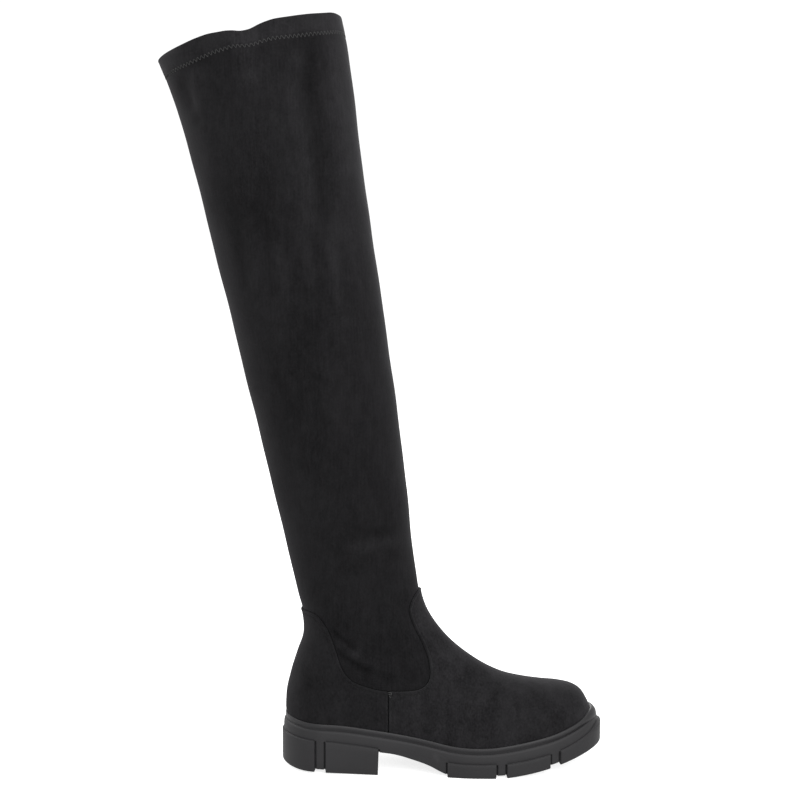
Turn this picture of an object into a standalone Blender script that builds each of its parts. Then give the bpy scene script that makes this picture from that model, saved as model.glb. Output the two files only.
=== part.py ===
"""Over-the-knee boot for the right foot, standing on a lug sole.

Sizes are in millimetres and become metres when a mesh is made. While the shapes are worked out, x runs
from the back of the sole to the toe, y from the outer side (negative) to the inner side and z up from
the floor. The finished boot is then set down with the middle of its box over the origin.

The last is a fan of sections. Each section is a straight line in the side view, from a point on the front
ridge to a point on the feather line or on the back line. Its half-width rises from nothing at the ridge.
"""
import math

import bpy
import numpy as np

MM = 0.001

# Overall sizes
SOLE_LENGTH = 275.0
FEATHER_BACK = 7.3
FEATHER_FRONT = 265.0
FIT_GAP = 0.3

# Walls
LEG_WALL = 1.4
OVERLAY_WALL = 1.3
HEM_HEIGHT_ROWS = 0.62
HEM_STEP = 0.7
INSOLE_THICK = 3.0
INSOLE_INSET = 2.9

# Plan of the feather line
HEEL_ROUND = 31.0
TOE_ROUND = 62.0
TOE_SQUARE = 2.3
TOE_SHIFT = 6.0
TOE_SHIFT_FROM = 150.0

# Sole
SOLE_MARGIN = 6.3
SOLE_HEEL_ROUND = 37.0
SOLE_TOE_ROUND = 68.0
BAND_INSET = 1.2
BAND_DRAFT = 0.5
BAND_EDGE = 1.0
TREAD_EDGE = 1.2
STEP_RAMP = 0.8
GROOVE_DEPTH = 1.4
CHANNEL_DEPTH = 2.0
TOE_SPRING = 20.5
TOE_SPRING_FROM = 186.0
TOE_SPRING_POWER = 1.7
HEEL_BEVEL = 3.4
HEEL_BEVEL_LENGTH = 24.0
WALL_DRAFT = 0.35

# Welt bead
WELT_INSET = 2.6
WELT_GAP = 0.55
WELT_HEIGHT = 4.6

# Collar
RIM_HUMP = 2.6
RIM_DIP = 5.0
RIM_DIP_WIDTH = 0.34

# Mesh counts
SIDE_COLUMNS = 16
WELT_COLUMNS = 40
CURVE_STEPS = 3
HEEL_EXTRA_ROWS = (0.62, 0.33, 0.14, 0.035)
LEG_SKIPPED_ROWS = (26, 28, 30)

# Sections from the toe to the heel: ridge point, feather point, share of the line that is rounded off,
# fullness of that rounding
FOOT_COLUMNS = ("front_x", "front_z", "base_x", "round_to", "fullness")
FOOT_SECTIONS = (
    (264.8, 39.0, 264.2, 1.00, 2.4),
    (265.4, 48.4, 260.5, 1.00, 2.4),
    (262.4, 55.0, 254.5, 1.00, 2.4),
    (257.2, 61.6, 247.0, 1.00, 2.4),
    (249.4, 65.9, 238.5, 1.00, 2.4),
    (238.0, 68.3, 228.0, 1.00, 2.4),
    (224.0, 69.8, 215.0, 1.00, 2.3),
    (207.0, 72.3, 199.5, 1.00, 2.3),
    (190.0, 76.6, 183.0, 1.00, 2.2),
    (174.2, 84.1, 165.5, 0.98, 2.1),
    (159.8, 93.5, 147.0, 0.92, 2.0),
    (147.3, 103.4, 128.0, 0.84, 2.0),
    (137.4, 113.5, 108.0, 0.76, 2.0),
    (129.4, 124.0, 88.0, 0.69, 2.0),
    (123.4, 134.0, 68.0, 0.63, 2.0),
    (119.4, 144.5, 48.0, 0.58, 2.0),
    (117.0, 155.5, 27.0, 0.55, 2.0),
    (115.2, 167.0, 7.3, 0.52, 2.0),
)

# Sections from the heel to the collar: ridge point and point on the back line
LEG_COLUMNS = ("front_x", "front_z", "back_x", "back_z")
LEG_SECTIONS = (
    (113.6, 178.0, 5.0, 60.0),
    (112.2, 190.0, 9.0, 80.0),
    (110.8, 203.0, 14.6, 98.0),
    (109.4, 217.0, 19.9, 114.0),
    (107.8, 232.0, 19.3, 131.0),
    (105.6, 250.0, 13.6, 152.0),
    (102.5, 276.0, 7.0, 182.0),
    (98.1, 312.0, -3.2, 226.0),
    (91.8, 358.0, -16.0, 281.0),
    (85.2, 404.5, -29.2, 337.0),
    (77.9, 455.0, -43.4, 397.0),
    (71.6, 499.0, -56.0, 449.0),
    (66.9, 534.0, -65.8, 489.5),
    (63.0, 567.0, -75.1, 527.0),
    (60.0, 592.0, -83.3, 555.5),
    (57.0, 612.5, -90.6, 577.0),
    (51.9, 636.2, -99.1, 600.2),
)

# Half-widths of the feather line
PLAN_COLUMNS = ("x", "outer", "inner")
PLAN = (
    (0.0, 28.5, 28.5),
    (40.0, 29.5, 29.0),
    (80.0, 31.0, 28.5),
    (105.0, 32.0, 29.5),
    (135.0, 36.0, 35.0),
    (160.0, 40.0, 40.0),
    (180.0, 41.5, 42.5),
    (200.0, 41.5, 43.5),
    (225.0, 40.0, 42.5),
    (265.0, 36.0, 39.0),
)

# Half-width of the ankle and leg, and how far the back is rounded off
LEG_WIDTH_COLUMNS = ("z", "half_width", "back_round")
LEG_WIDTH = (
    (40.0, 31.0, 31.0),
    (80.0, 32.5, 31.0),
    (120.0, 34.0, 36.0),
    (150.0, 35.0, 43.0),
    (180.0, 37.0, 50.0),
    (230.0, 42.5, 56.0),
    (316.0, 50.0, 61.0),
    (400.0, 55.0, 65.0),
    (484.0, 58.0, 69.0),
    (567.0, 60.0, 74.0),
    (640.0, 61.0, 77.0),
)
ANKLE_BLEND_FROM = 60.0
ANKLE_BLEND_TO = 150.0

# Heights along the sole: the platform under the upper and the line where the lug blocks step out
SOLE_COLUMNS = ("x", "platform_z", "step_z")
SOLE_PROFILE = (
    (0.0, 42.0, 31.0),
    (10.0, 40.0, 30.0),
    (20.0, 38.7, 29.1),
    (35.0, 38.2, 28.3),
    (50.0, 37.6, 26.8),
    (75.0, 34.5, 23.6),
    (91.0, 32.2, 21.0),
    (124.0, 26.6, 15.9),
    (146.0, 22.3, 13.0),
    (165.0, 20.6, 11.8),
    (180.0, 20.8, 11.3),
    (195.0, 22.5, 12.1),
    (215.0, 25.6, 15.1),
    (237.0, 29.6, 18.9),
    (252.0, 33.4, 23.2),
    (262.0, 37.0, 27.0),
    (275.0, 42.8, 32.0),
)

# Lower edge of the waist, between the heel breast and the forefoot
WAIST_COLUMNS = ("x", "edge_z")
WAIST = (
    (83.2, 18.0),
    (97.0, 16.6),
    (112.0, 13.0),
    (127.0, 8.4),
    (137.0, 4.0),
    (141.5, 2.4),
)

# Stretches of the sole from heel to toe, each with its count of columns
STRETCH_COLUMNS = ("start_x", "end_x", "kind", "count")
STRETCHES = (
    (0.0, 29.7, "block", 8),
    (29.7, 38.5, "gap", 2),
    (38.5, 83.2, "block", 5),
    (83.2, 141.5, "waist", 8),
    (141.5, 184.3, "block", 5),
    (184.3, 191.8, "gap", 2),
    (191.8, 230.0, "block", 5),
    (230.0, 238.0, "gap", 2),
    (238.0, 275.0, "block", 9),
)

# Throat line in the side view, from the back of the heel, down in a U and up to the instep
THROAT_COLUMNS = ("x", "z")
THROAT = (
    (-30.0, 138.5),
    (8.0, 139.0),
    (19.4, 139.4),
    (26.0, 140.0),
    (33.0, 138.6),
    (39.0, 132.5),
    (43.2, 123.5),
    (46.4, 113.4),
    (49.8, 99.8),
    (56.0, 87.6),
    (66.5, 80.4),
    (80.5, 75.4),
    (93.3, 72.8),
    (106.0, 72.6),
    (116.8, 74.6),
    (124.2, 80.8),
    (126.8, 89.5),
    (125.2, 102.6),
    (120.2, 116.9),
    (113.6, 129.8),
    (110.2, 139.1),
    (111.4, 146.6),
    (116.0, 153.0),
    (124.0, 157.5),
    (160.0, 170.0),
)
SEAM_X = 91.0
SEAM_HALF_GAP = 0.25
SHELL_TOP_ROW = 23.5


def column(rows, names, name):
    """One named column of a table as an array."""
    return np.array([row[names.index(name)] for row in rows], dtype=float)


def smooth_curve(at, known_at, known):
    """Cubic through known points, with slopes taken from the neighbours on both sides."""
    known_at = np.asarray(known_at, dtype=float)
    known = np.asarray(known, dtype=float)
    slope = np.gradient(known, known_at)
    at = np.clip(np.asarray(at, dtype=float), known_at[0], known_at[-1])
    i = np.clip(np.searchsorted(known_at, at, side="right") - 1, 0, len(known_at) - 2)
    span = known_at[i + 1] - known_at[i]
    t = (at - known_at[i]) / span
    rise = known[i] * (1.0 + 2.0 * t) * (1.0 - t) ** 2 + known[i + 1] * t * t * (3.0 - 2.0 * t)
    lean = slope[i] * t * (1.0 - t) ** 2 - slope[i + 1] * t * t * (1.0 - t)
    return rise + span * lean


def ease(value, low, high):
    """Soft step from 0 at low to 1 at high."""
    t = np.clip((np.asarray(value, dtype=float) - low) / (high - low), 0.0, 1.0)
    return t * t * (3.0 - 2.0 * t)


def quarter_round(distance, length, fullness=2.0):
    """Rounding that starts upright at distance 0 and is full at the given length."""
    rest = 1.0 - np.clip(distance / length, 0.0, 1.0)
    return np.sqrt(np.clip(1.0 - rest ** fullness, 0.0, 1.0))


def sole_height(x, name):
    """Height of the platform or of the step line at x."""
    return smooth_curve(x, column(SOLE_PROFILE, SOLE_COLUMNS, "x"), column(SOLE_PROFILE, SOLE_COLUMNS, name))


def tread_height(x):
    """Underside of the lug blocks: flat, with a bevel at the heel and the toe spring."""
    spring = np.clip((x - TOE_SPRING_FROM) / (SOLE_LENGTH - TOE_SPRING_FROM), 0.0, 1.0)
    bevel = np.clip(1.0 - x / HEEL_BEVEL_LENGTH, 0.0, 1.0)
    return TOE_SPRING * spring ** TOE_SPRING_POWER + HEEL_BEVEL * bevel ** 2


def toe_centre(x):
    """The middle line swings to the inner side towards the toe."""
    return TOE_SHIFT * ease(x, TOE_SHIFT_FROM, FEATHER_FRONT)


def plan_half(x, side, front, toe_round, margin=0.0):
    """Half-width in plan on one side, with the toe rounded off and the heel still full."""
    name = "outer" if side < 0 else "inner"
    half = smooth_curve(x, column(PLAN, PLAN_COLUMNS, "x"), column(PLAN, PLAN_COLUMNS, name)) + margin
    return half * quarter_round(front - np.asarray(x, dtype=float), toe_round, TOE_SQUARE)


SECTION_X = np.concatenate([column(FOOT_SECTIONS, FOOT_COLUMNS, "front_x"),
                            column(LEG_SECTIONS, LEG_COLUMNS, "front_x")])
SECTION_Z = np.concatenate([column(FOOT_SECTIONS, FOOT_COLUMNS, "front_z"),
                            column(LEG_SECTIONS, LEG_COLUMNS, "front_z")])
FOOT_BASE_X = column(FOOT_SECTIONS, FOOT_COLUMNS, "base_x")
BASE_X = np.concatenate([FOOT_BASE_X, column(LEG_SECTIONS, LEG_COLUMNS, "back_x")])
BASE_Z = np.concatenate([sole_height(FOOT_BASE_X, "platform_z") + FIT_GAP,
                         column(LEG_SECTIONS, LEG_COLUMNS, "back_z")])
LEG_COUNT = len(LEG_SECTIONS)
ROUND_TO = np.concatenate([column(FOOT_SECTIONS, FOOT_COLUMNS, "round_to"), np.full(LEG_COUNT, 0.5)])
FULLNESS = np.concatenate([column(FOOT_SECTIONS, FOOT_COLUMNS, "fullness"), np.full(LEG_COUNT, 2.0)])
ROWS = np.arange(len(SECTION_X), dtype=float)
HEEL_ROW = len(FOOT_SECTIONS) - 1
COLLAR_ROW = len(SECTION_X) - 1


BACK_ROWS = np.linspace(HEEL_ROW, COLLAR_ROW, 1500)
BACK_LINE_X = smooth_curve(BACK_ROWS, ROWS, BASE_X)
BACK_LINE_Z = smooth_curve(BACK_ROWS, ROWS, BASE_Z)


def back_line(z):
    """x of the back of the upper at a height."""
    return np.interp(z, BACK_LINE_Z, BACK_LINE_X)


def leg_value(z, name):
    """Half-width or back rounding of the leg at a height."""
    return smooth_curve(z, column(LEG_WIDTH, LEG_WIDTH_COLUMNS, "z"), column(LEG_WIDTH, LEG_WIDTH_COLUMNS, name))


def rim_wave(turn):
    """The collar rises a little at each side, with a dip in the middle."""
    dip = np.exp(-((np.abs(turn) - 0.5 * math.pi) / RIM_DIP_WIDTH) ** 2)
    return RIM_HUMP * np.sin(turn) ** 2 - RIM_DIP * dip


def last_point(row, turn):
    """Outer face of the upper: row picks the section, turn runs from -pi over the ridge at 0 to pi."""
    row, turn = np.broadcast_arrays(np.asarray(row, dtype=float), np.asarray(turn, dtype=float))
    along = 0.5 * (1.0 - np.cos(turn))
    front_x = smooth_curve(row, ROWS, SECTION_X)
    front_z = smooth_curve(row, ROWS, SECTION_Z)
    base_x = smooth_curve(row, ROWS, BASE_X)
    base_z = smooth_curve(row, ROWS, BASE_Z)
    x = front_x + (base_x - front_x) * along
    z = front_z + (base_z - front_z) * along
    foot = np.where(turn < 0.0,
                    plan_half(base_x, -1, FEATHER_FRONT, TOE_ROUND),
                    plan_half(base_x, 1, FEATHER_FRONT, TOE_ROUND))
    mix = ease(z, ANKLE_BLEND_FROM, ANKLE_BLEND_TO)
    half = foot * (1.0 - mix) + leg_value(z, "half_width") * mix
    front_round = quarter_round(along, smooth_curve(row, ROWS, ROUND_TO), smooth_curve(row, ROWS, FULLNESS))
    back_round = quarter_round(x - back_line(z), leg_value(z, "back_round"))
    y = toe_centre(base_x) + np.sign(turn) * half * front_round * back_round
    z = z + rim_wave(turn) * ease(row, COLLAR_ROW - 2.5, COLLAR_ROW)
    return np.stack([x, y, z], axis=-1)


class Sheet:
    """Grid of points on the last, with the two sides joined along the back above the heel."""

    def __init__(self, rows, lifts):
        turns = np.linspace(-math.pi, math.pi, 2 * SIDE_COLUMNS + 1)
        grid = last_point(np.asarray(rows)[:, None], turns[None, :])
        count_rows, count_turns = grid.shape[:2]
        self.index = np.arange(count_rows * count_turns).reshape(count_rows, count_turns)
        closed = np.asarray(rows) >= HEEL_ROW - 1e-6
        self.index[closed, -1] = self.index[closed, 0]
        self.points = grid.reshape(-1, 3)
        self.lifts = np.repeat(np.asarray(lifts, dtype=float), count_turns)
        self.closed = closed
        a = self.index[:-1, :-1].ravel()
        b = self.index[:-1, 1:].ravel()
        c = self.index[1:, 1:].ravel()
        d = self.index[1:, :-1].ravel()
        self.triangles = self.split(a, b, c, d)
        self.normals = self.vertex_normals()

    def split(self, a, b, c, d):
        """Two triangles per cell, cut along the shorter diagonal."""
        one = np.linalg.norm(self.points[a] - self.points[c], axis=1)
        other = np.linalg.norm(self.points[b] - self.points[d], axis=1)
        short = (one <= other)[:, None]
        first = np.where(short, np.stack([a, b, c], axis=1), np.stack([a, b, d], axis=1))
        second = np.where(short, np.stack([a, c, d], axis=1), np.stack([b, c, d], axis=1))
        return np.concatenate([first, second])

    def vertex_normals(self):
        corner = self.points[self.triangles]
        face = np.cross(corner[:, 1] - corner[:, 0], corner[:, 2] - corner[:, 0])
        total = np.zeros_like(self.points)
        for k in range(3):
            np.add.at(total, self.triangles[:, k], face)
        length = np.maximum(np.linalg.norm(total, axis=1, keepdims=True), 1e-9)
        return total / length

    def lifted(self, height):
        """The sheet moved out along its normals, with the hem step on top."""
        return self.points + self.normals * (self.lifts + height)[:, None]

    def edge_loops(self):
        """The lower edge (feather line and toe row) and the collar edge, as vertex loops."""
        heel = int(np.argmax(self.closed))
        lower = list(self.index[heel:0:-1, 0]) + list(self.index[0, :]) + list(self.index[1:heel, -1])
        return [lower, list(self.index[-1, :-1])]


def shell(sheet, outer, inner):
    """Closed wall between two lifts of one sheet."""
    count = len(sheet.points)
    points = np.concatenate([sheet.lifted(outer), sheet.points + sheet.normals * inner])
    points[:, 2] = np.maximum(points[:, 2], sole_height(points[:, 0], "platform_z") + FIT_GAP)
    faces = [tuple(t) for t in sheet.triangles]
    faces += [tuple(int(v) + count for v in reversed(t)) for t in sheet.triangles]
    for number, loop in enumerate(sheet.edge_loops()):
        for a, b in zip(loop, loop[1:] + loop[:1]):
            wall = (a, b, b + count, a + count)
            faces.append(wall if number == 1 else tuple(reversed(wall)))
    return points, faces


def add_object(name, points, faces, origin):
    """Mesh object from millimetre points, without loose or doubled points."""
    used = sorted({int(v) for face in faces for v in face})
    place = {v: i for i, v in enumerate(used)}
    mesh = bpy.data.meshes.new(name)
    local = (np.asarray(points)[used] - origin) * MM
    mesh.from_pydata([tuple(p) for p in local], [], [tuple(place[int(v)] for v in f) for f in faces])
    mesh.validate()
    mesh.update()
    thing = bpy.data.objects.new(name, mesh)
    bpy.context.scene.collection.objects.link(thing)
    return thing


def plain_material(name, colour, roughness):
    material = bpy.data.materials.new(name)
    material.use_nodes = True
    shader = material.node_tree.nodes["Principled BSDF"]
    shader.inputs["Base Color"].default_value = (*colour, 1.0)
    shader.inputs["Roughness"].default_value = roughness
    return material


def stations():
    """Columns of the sole from heel to toe as x and kind, doubled where a block starts or ends."""
    found = []
    for start, end, kind, count in STRETCHES:
        low = start + WALL_DRAFT if start > 0.0 else start
        high = end - WALL_DRAFT if end < SOLE_LENGTH else end
        share = np.linspace(0.0, 1.0, count + 1)
        if start == 0.0:
            share = 1.0 - np.cos(0.5 * math.pi * share)
        if end == SOLE_LENGTH:
            share = np.sin(0.5 * math.pi * share)
        found += [(low + (high - low) * s, kind) for s in share]
    return found


def ring_normals(ring):
    """Outward plan normals of a closed ring that runs from heel to toe on the outer side and back."""
    ahead = np.roll(ring, -1, axis=0) - ring
    behind = ring - np.roll(ring, 1, axis=0)
    step = (ahead / np.linalg.norm(ahead, axis=1, keepdims=True)
            + behind / np.linalg.norm(behind, axis=1, keepdims=True))
    out = np.stack([step[:, 1], -step[:, 0]], axis=1)
    return out / np.linalg.norm(out, axis=1, keepdims=True)


def plan_ring(x, back, front, heel_round, toe_round, margin):
    """Closed plan outline through the given x, outer side first, with shared ends."""
    heel = quarter_round(x - back, heel_round)
    outer = toe_centre(x) - plan_half(x, -1, front, toe_round, margin) * heel
    inner = toe_centre(x) + plan_half(x, 1, front, toe_round, margin) * heel
    there = np.stack([x, outer], axis=1)
    back_again = np.stack([x[-2:0:-1], inner[-2:0:-1]], axis=1)
    return np.concatenate([there, back_again])


def sole_ring(x):
    """Outline of the lug faces."""
    return plan_ring(x, 0.0, SOLE_LENGTH, SOLE_HEEL_ROUND, SOLE_TOE_ROUND, SOLE_MARGIN)


def sole_mesh():
    """Sole unit: rings of wall points from the tread up, closed above and below by strips."""
    columns = stations()
    x = np.array([c[0] for c in columns])
    kinds = [c[1] for c in columns]
    half = len(x)
    order = list(range(half)) + list(range(half - 2, 0, -1))
    ring = sole_ring(x)
    out = ring_normals(ring)
    step = sole_height(x, "step_z")
    waist = smooth_curve(x, column(WAIST, WAIST_COLUMNS, "x"), column(WAIST, WAIST_COLUMNS, "edge_z"))
    tread = tread_height(x)
    bottom = np.where([k == "block" for k in kinds], tread, tread + GROOVE_DEPTH)
    bottom = np.where([k == "waist" for k in kinds], waist, bottom)
    face = np.where([k == "block" for k in kinds], 0.0, BAND_INSET)
    band = np.full(half, BAND_INSET)
    levels = (
        (face + TREAD_EDGE, bottom),
        (face, bottom + TREAD_EDGE),
        (face, step),
        (band, step + STEP_RAMP),
        (band + BAND_DRAFT, None),
        (band + BAND_DRAFT + BAND_EDGE, None),
    )
    points = []
    for number, (inset, height) in enumerate(levels):
        flat = ring - out * inset[order][:, None]
        if height is None:
            drop = BAND_EDGE if number < len(levels) - 1 else 0.0
            points.append(np.column_stack([flat, sole_height(flat[:, 0], "platform_z") - drop]))
        else:
            points.append(np.column_stack([flat, height[order]]))
    around = len(order)
    faces = []
    for level in range(len(levels) - 1):
        low = level * around
        high = low + around
        for i in range(around):
            j = (i + 1) % around
            faces.append((low + i, low + j, high + j, high + i))
    top = (len(levels) - 1) * around
    for i in range(half - 1):
        faces.append(strip_face(top, i, around, True))
    points = np.concatenate(points)
    return add_underside(points, faces, kinds, x, half, around)


def strip_face(first, i, around, upward):
    """Face between the two sides of a ring at columns i and i + 1."""
    corner = [first + i, first + i + 1, first + (around - i - 1) % around, first + (around - i) % around]
    corner = [v for k, v in enumerate(corner) if v not in corner[:k]]
    return tuple(corner if upward else reversed(corner))


CHANNEL_SHARES = (0.0, 0.37, 0.41, 0.59, 0.63, 1.0)
CHANNEL_FROM = 14.0
CHANNEL_TO = 250.0


def add_underside(points, faces, kinds, x, half, around):
    """Tread: bars across the sole with a shallow channel along the middle of the blocks."""
    extra = []
    rows = []
    for i in range(half):
        outer, inner = points[i], points[(around - i) % around]
        if i in (0, half - 1):
            rows.append([i])
            continue
        row = [i]
        deep = kinds[i] == "block" and CHANNEL_FROM < x[i] < CHANNEL_TO
        for number, share in enumerate(CHANNEL_SHARES[1:-1]):
            spot = outer + (inner - outer) * share
            lift = CHANNEL_DEPTH if deep and number in (1, 2) else 0.0
            row.append(len(points) + len(extra))
            extra.append(spot + np.array([0.0, 0.0, lift]))
        row.append(around - i)
        rows.append(row)
    for here, there in zip(rows, rows[1:]):
        if len(here) == 1:
            faces += [(here[0], there[k + 1], there[k]) for k in range(len(there) - 1)]
        elif len(there) == 1:
            faces += [(here[k], here[k + 1], there[0]) for k in range(len(here) - 1)]
        else:
            faces += [(here[k], here[k + 1], there[k + 1], there[k]) for k in range(len(here) - 1)]
    return np.concatenate([points, np.array(extra)]), faces


def foot_ring(height, offset):
    """Plan ring of the upper's outer face at a height over the feather line, moved out by an offset."""
    toe_rows = np.linspace(0.0, 2.0, 200)
    toe_lift = smooth_curve(toe_rows, ROWS, SECTION_Z) - smooth_curve(toe_rows, ROWS, BASE_Z)
    heel_rows = np.linspace(HEEL_ROW, HEEL_ROW + 1.0, 200)
    heel_lift = smooth_curve(heel_rows, ROWS, BASE_Z) - BASE_Z[HEEL_ROW]
    first = np.interp(height, toe_lift, toe_rows)
    last = np.interp(height, heel_lift, heel_rows)
    row = first + (last - first) * 0.5 * (1.0 + np.cos(np.linspace(0.0, math.pi, WELT_COLUMNS + 1)))
    front_z = smooth_curve(row, ROWS, SECTION_Z)
    base_z = smooth_curve(row, ROWS, BASE_Z)
    level = np.where(row <= HEEL_ROW, base_z, BASE_Z[HEEL_ROW]) + height
    along = np.clip((front_z - level) / (front_z - base_z), 0.0, 1.0)
    turn = np.arccos(1.0 - 2.0 * along)
    loop = np.concatenate([last_point(row, -turn), last_point(row, turn)[-2:0:-1]])[:, :2]
    return loop + ring_normals(loop) * offset


def ring_share(ring, tip):
    """Distance run along a ring, 0 to 1 from heel to tip and 1 to 2 back to the heel."""
    closed = np.concatenate([ring, ring[:1]])
    run = np.concatenate([[0.0], np.cumsum(np.linalg.norm(np.diff(closed, axis=0), axis=1))])
    return np.where(run <= run[tip], run / run[tip], 1.0 + (run - run[tip]) / (run[-1] - run[tip])), closed


WELT_PROFILE_COLUMNS = ("across", "height")
WELT_PROFILE = (
    (0.00, 0.00),
    (0.00, 0.80),
    (0.34, 1.00),
    (0.66, 0.98),
    (0.88, 0.80),
    (0.99, 0.52),
    (0.94, 0.24),
    (0.80, 0.00),
)


def welt_mesh():
    """Bead ring between the upper and the edge of the sole, standing on the platform."""
    inside = foot_ring(WELT_HEIGHT, FIT_GAP + OVERLAY_WALL + WELT_GAP)
    half = 120
    wide = sole_ring(SOLE_LENGTH * 0.5 * (1.0 - np.cos(np.linspace(0.0, math.pi, half))))
    wide = wide - ring_normals(wide) * WELT_INSET
    wide_share, wide_closed = ring_share(wide, half - 1)
    share, _ = ring_share(inside, WELT_COLUMNS)
    outside = np.column_stack([np.interp(share[:-1], wide_share, wide_closed[:, k]) for k in range(2)])
    rings = []
    for across, height in WELT_PROFILE:
        flat = inside + (outside - inside) * across
        lift = max(height * WELT_HEIGHT, FIT_GAP)
        rings.append(np.column_stack([flat, sole_height(flat[:, 0], "platform_z") + lift]))
    around = len(inside)
    faces = []
    for level in range(len(rings)):
        low = level * around
        high = ((level + 1) % len(rings)) * around
        for i in range(around):
            j = (i + 1) % around
            faces.append((low + i, high + i, high + j, low + j))
    return np.concatenate(rings), faces


def insole_mesh():
    """Footbed board that follows the platform inside the upper."""
    back = FEATHER_BACK + INSOLE_INSET
    front = FEATHER_FRONT - INSOLE_INSET
    x = back + (front - back) * 0.5 * (1.0 - np.cos(np.linspace(0.0, math.pi, 34)))
    ring = plan_ring(x, back, front, HEEL_ROUND - INSOLE_INSET, TOE_ROUND - INSOLE_INSET, -INSOLE_INSET)
    floor = sole_height(ring[:, 0], "platform_z") + FIT_GAP
    points = np.concatenate([np.column_stack([ring, floor]), np.column_stack([ring, floor + INSOLE_THICK])])
    around = len(ring)
    faces = [(i, (i + 1) % around, around + (i + 1) % around, around + i) for i in range(around)]
    for i in range(len(x) - 1):
        faces.append(strip_face(0, i, around, False))
        faces.append(strip_face(around, i, around, True))
    return points, faces


def prism(name, outline, reach, origin):
    """Cutter: a side-view outline drawn through from one side to the other."""
    count = len(outline)
    near = np.column_stack([outline[:, 0], np.full(count, -reach), outline[:, 1]])
    far = np.column_stack([outline[:, 0], np.full(count, reach), outline[:, 1]])
    faces = [tuple(range(count)), tuple(range(2 * count - 1, count - 1, -1))]
    faces += [(i, count + i, count + (i + 1) % count, (i + 1) % count) for i in range(count)]
    cutter = add_object(name, np.concatenate([near, far]), faces, origin)
    cutter.hide_render = True
    cutter.display_type = "WIRE"
    return cutter


def throat_outline():
    """Everything above the throat line, as one closed outline."""
    known = np.arange(len(THROAT), dtype=float)
    fine = np.linspace(0.0, known[-1], CURVE_STEPS * (len(THROAT) - 1) + 1)
    x = smooth_curve(fine, known, column(THROAT, THROAT_COLUMNS, "x"))
    z = smooth_curve(fine, known, column(THROAT, THROAT_COLUMNS, "z"))
    high = 420.0
    return np.column_stack([np.concatenate([x, [x[-1], x[0]]]), np.concatenate([z, [high, high]])])


def box_outline(low_x, high_x):
    return np.array([[low_x, -30.0], [high_x, -30.0], [high_x, 430.0], [low_x, 430.0]])


def cut_away(thing, cutter):
    cut = thing.modifiers.new(cutter.name, "BOOLEAN")
    cut.operation = "DIFFERENCE"
    cut.solver = "EXACT"
    cut.object = cutter


def build():
    for old in list(bpy.data.objects):
        bpy.data.objects.remove(old, do_unlink=True)

    hem_row = COLLAR_ROW - HEM_HEIGHT_ROWS
    mesh_rows = np.sort(np.concatenate([np.delete(ROWS, LEG_SKIPPED_ROWS),
                                        HEEL_ROW - np.array(HEEL_EXTRA_ROWS)]))
    upper_rows = list(mesh_rows[:-1]) + [hem_row - 0.02, hem_row + 0.02, float(COLLAR_ROW)]
    hem = [0.0] * (len(upper_rows) - 2) + [HEM_STEP, HEM_STEP]
    upper_points, upper_faces = shell(Sheet(upper_rows, hem), 0.0, -LEG_WALL)
    sole_points, sole_faces = sole_mesh()
    everything = np.concatenate([upper_points, sole_points])
    middle = 0.5 * (everything.min(axis=0) + everything.max(axis=0))
    origin = np.array([middle[0], middle[1], 0.0])

    suede = plain_material("black_suede", (0.012, 0.012, 0.013), 0.9)
    overlay = plain_material("black_suede_overlay", (0.012, 0.012, 0.013), 0.9)
    rubber = plain_material("sole_rubber", (0.03, 0.03, 0.032), 0.7)
    bead = plain_material("welt_rubber", (0.03, 0.03, 0.032), 0.6)
    board = plain_material("insole_cloth", (0.02, 0.02, 0.02), 0.9)

    boot = bpy.data.objects.new("boot", None)
    bpy.context.scene.collection.objects.link(boot)

    shell_rows = list(mesh_rows[mesh_rows < SHELL_TOP_ROW]) + [SHELL_TOP_ROW]
    skin_points, skin_faces = shell(Sheet(shell_rows, [0.0] * len(shell_rows)),
                                    FIT_GAP + OVERLAY_WALL, FIT_GAP)
    throat = prism("throat_cutter", throat_outline(), 120.0, origin)
    behind = prism("behind_seam_cutter", box_outline(-80.0, SEAM_X + SEAM_HALF_GAP), 140.0, origin)
    ahead = prism("ahead_of_seam_cutter", box_outline(SEAM_X - SEAM_HALF_GAP, 330.0), 140.0, origin)

    pieces = {
        "upper": (upper_points, upper_faces, suede, ()),
        "vamp": (skin_points, skin_faces, overlay, (throat, behind)),
        "quarter": (skin_points, skin_faces, overlay, (throat, ahead)),
        "sole": (sole_points, sole_faces, rubber, ()),
        "welt": (*welt_mesh(), bead, ()),
        "insole": (*insole_mesh(), board, ()),
    }
    for name, (points, faces, material, cutters) in pieces.items():
        thing = add_object(name, points, faces, origin)
        thing.data.materials.append(material)
        thing.parent = boot
        for cutter in cutters:
            cut_away(thing, cutter)


build()
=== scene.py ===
"""Looks of the over-the-knee boot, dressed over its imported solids.

Shapes are worked out in millimetres in the boot's own frame: x from the back of the sole to the toe, y from
the outer side (negative) to the inner side, z up from the floor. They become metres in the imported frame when
a mesh is made.
"""
import math

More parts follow.
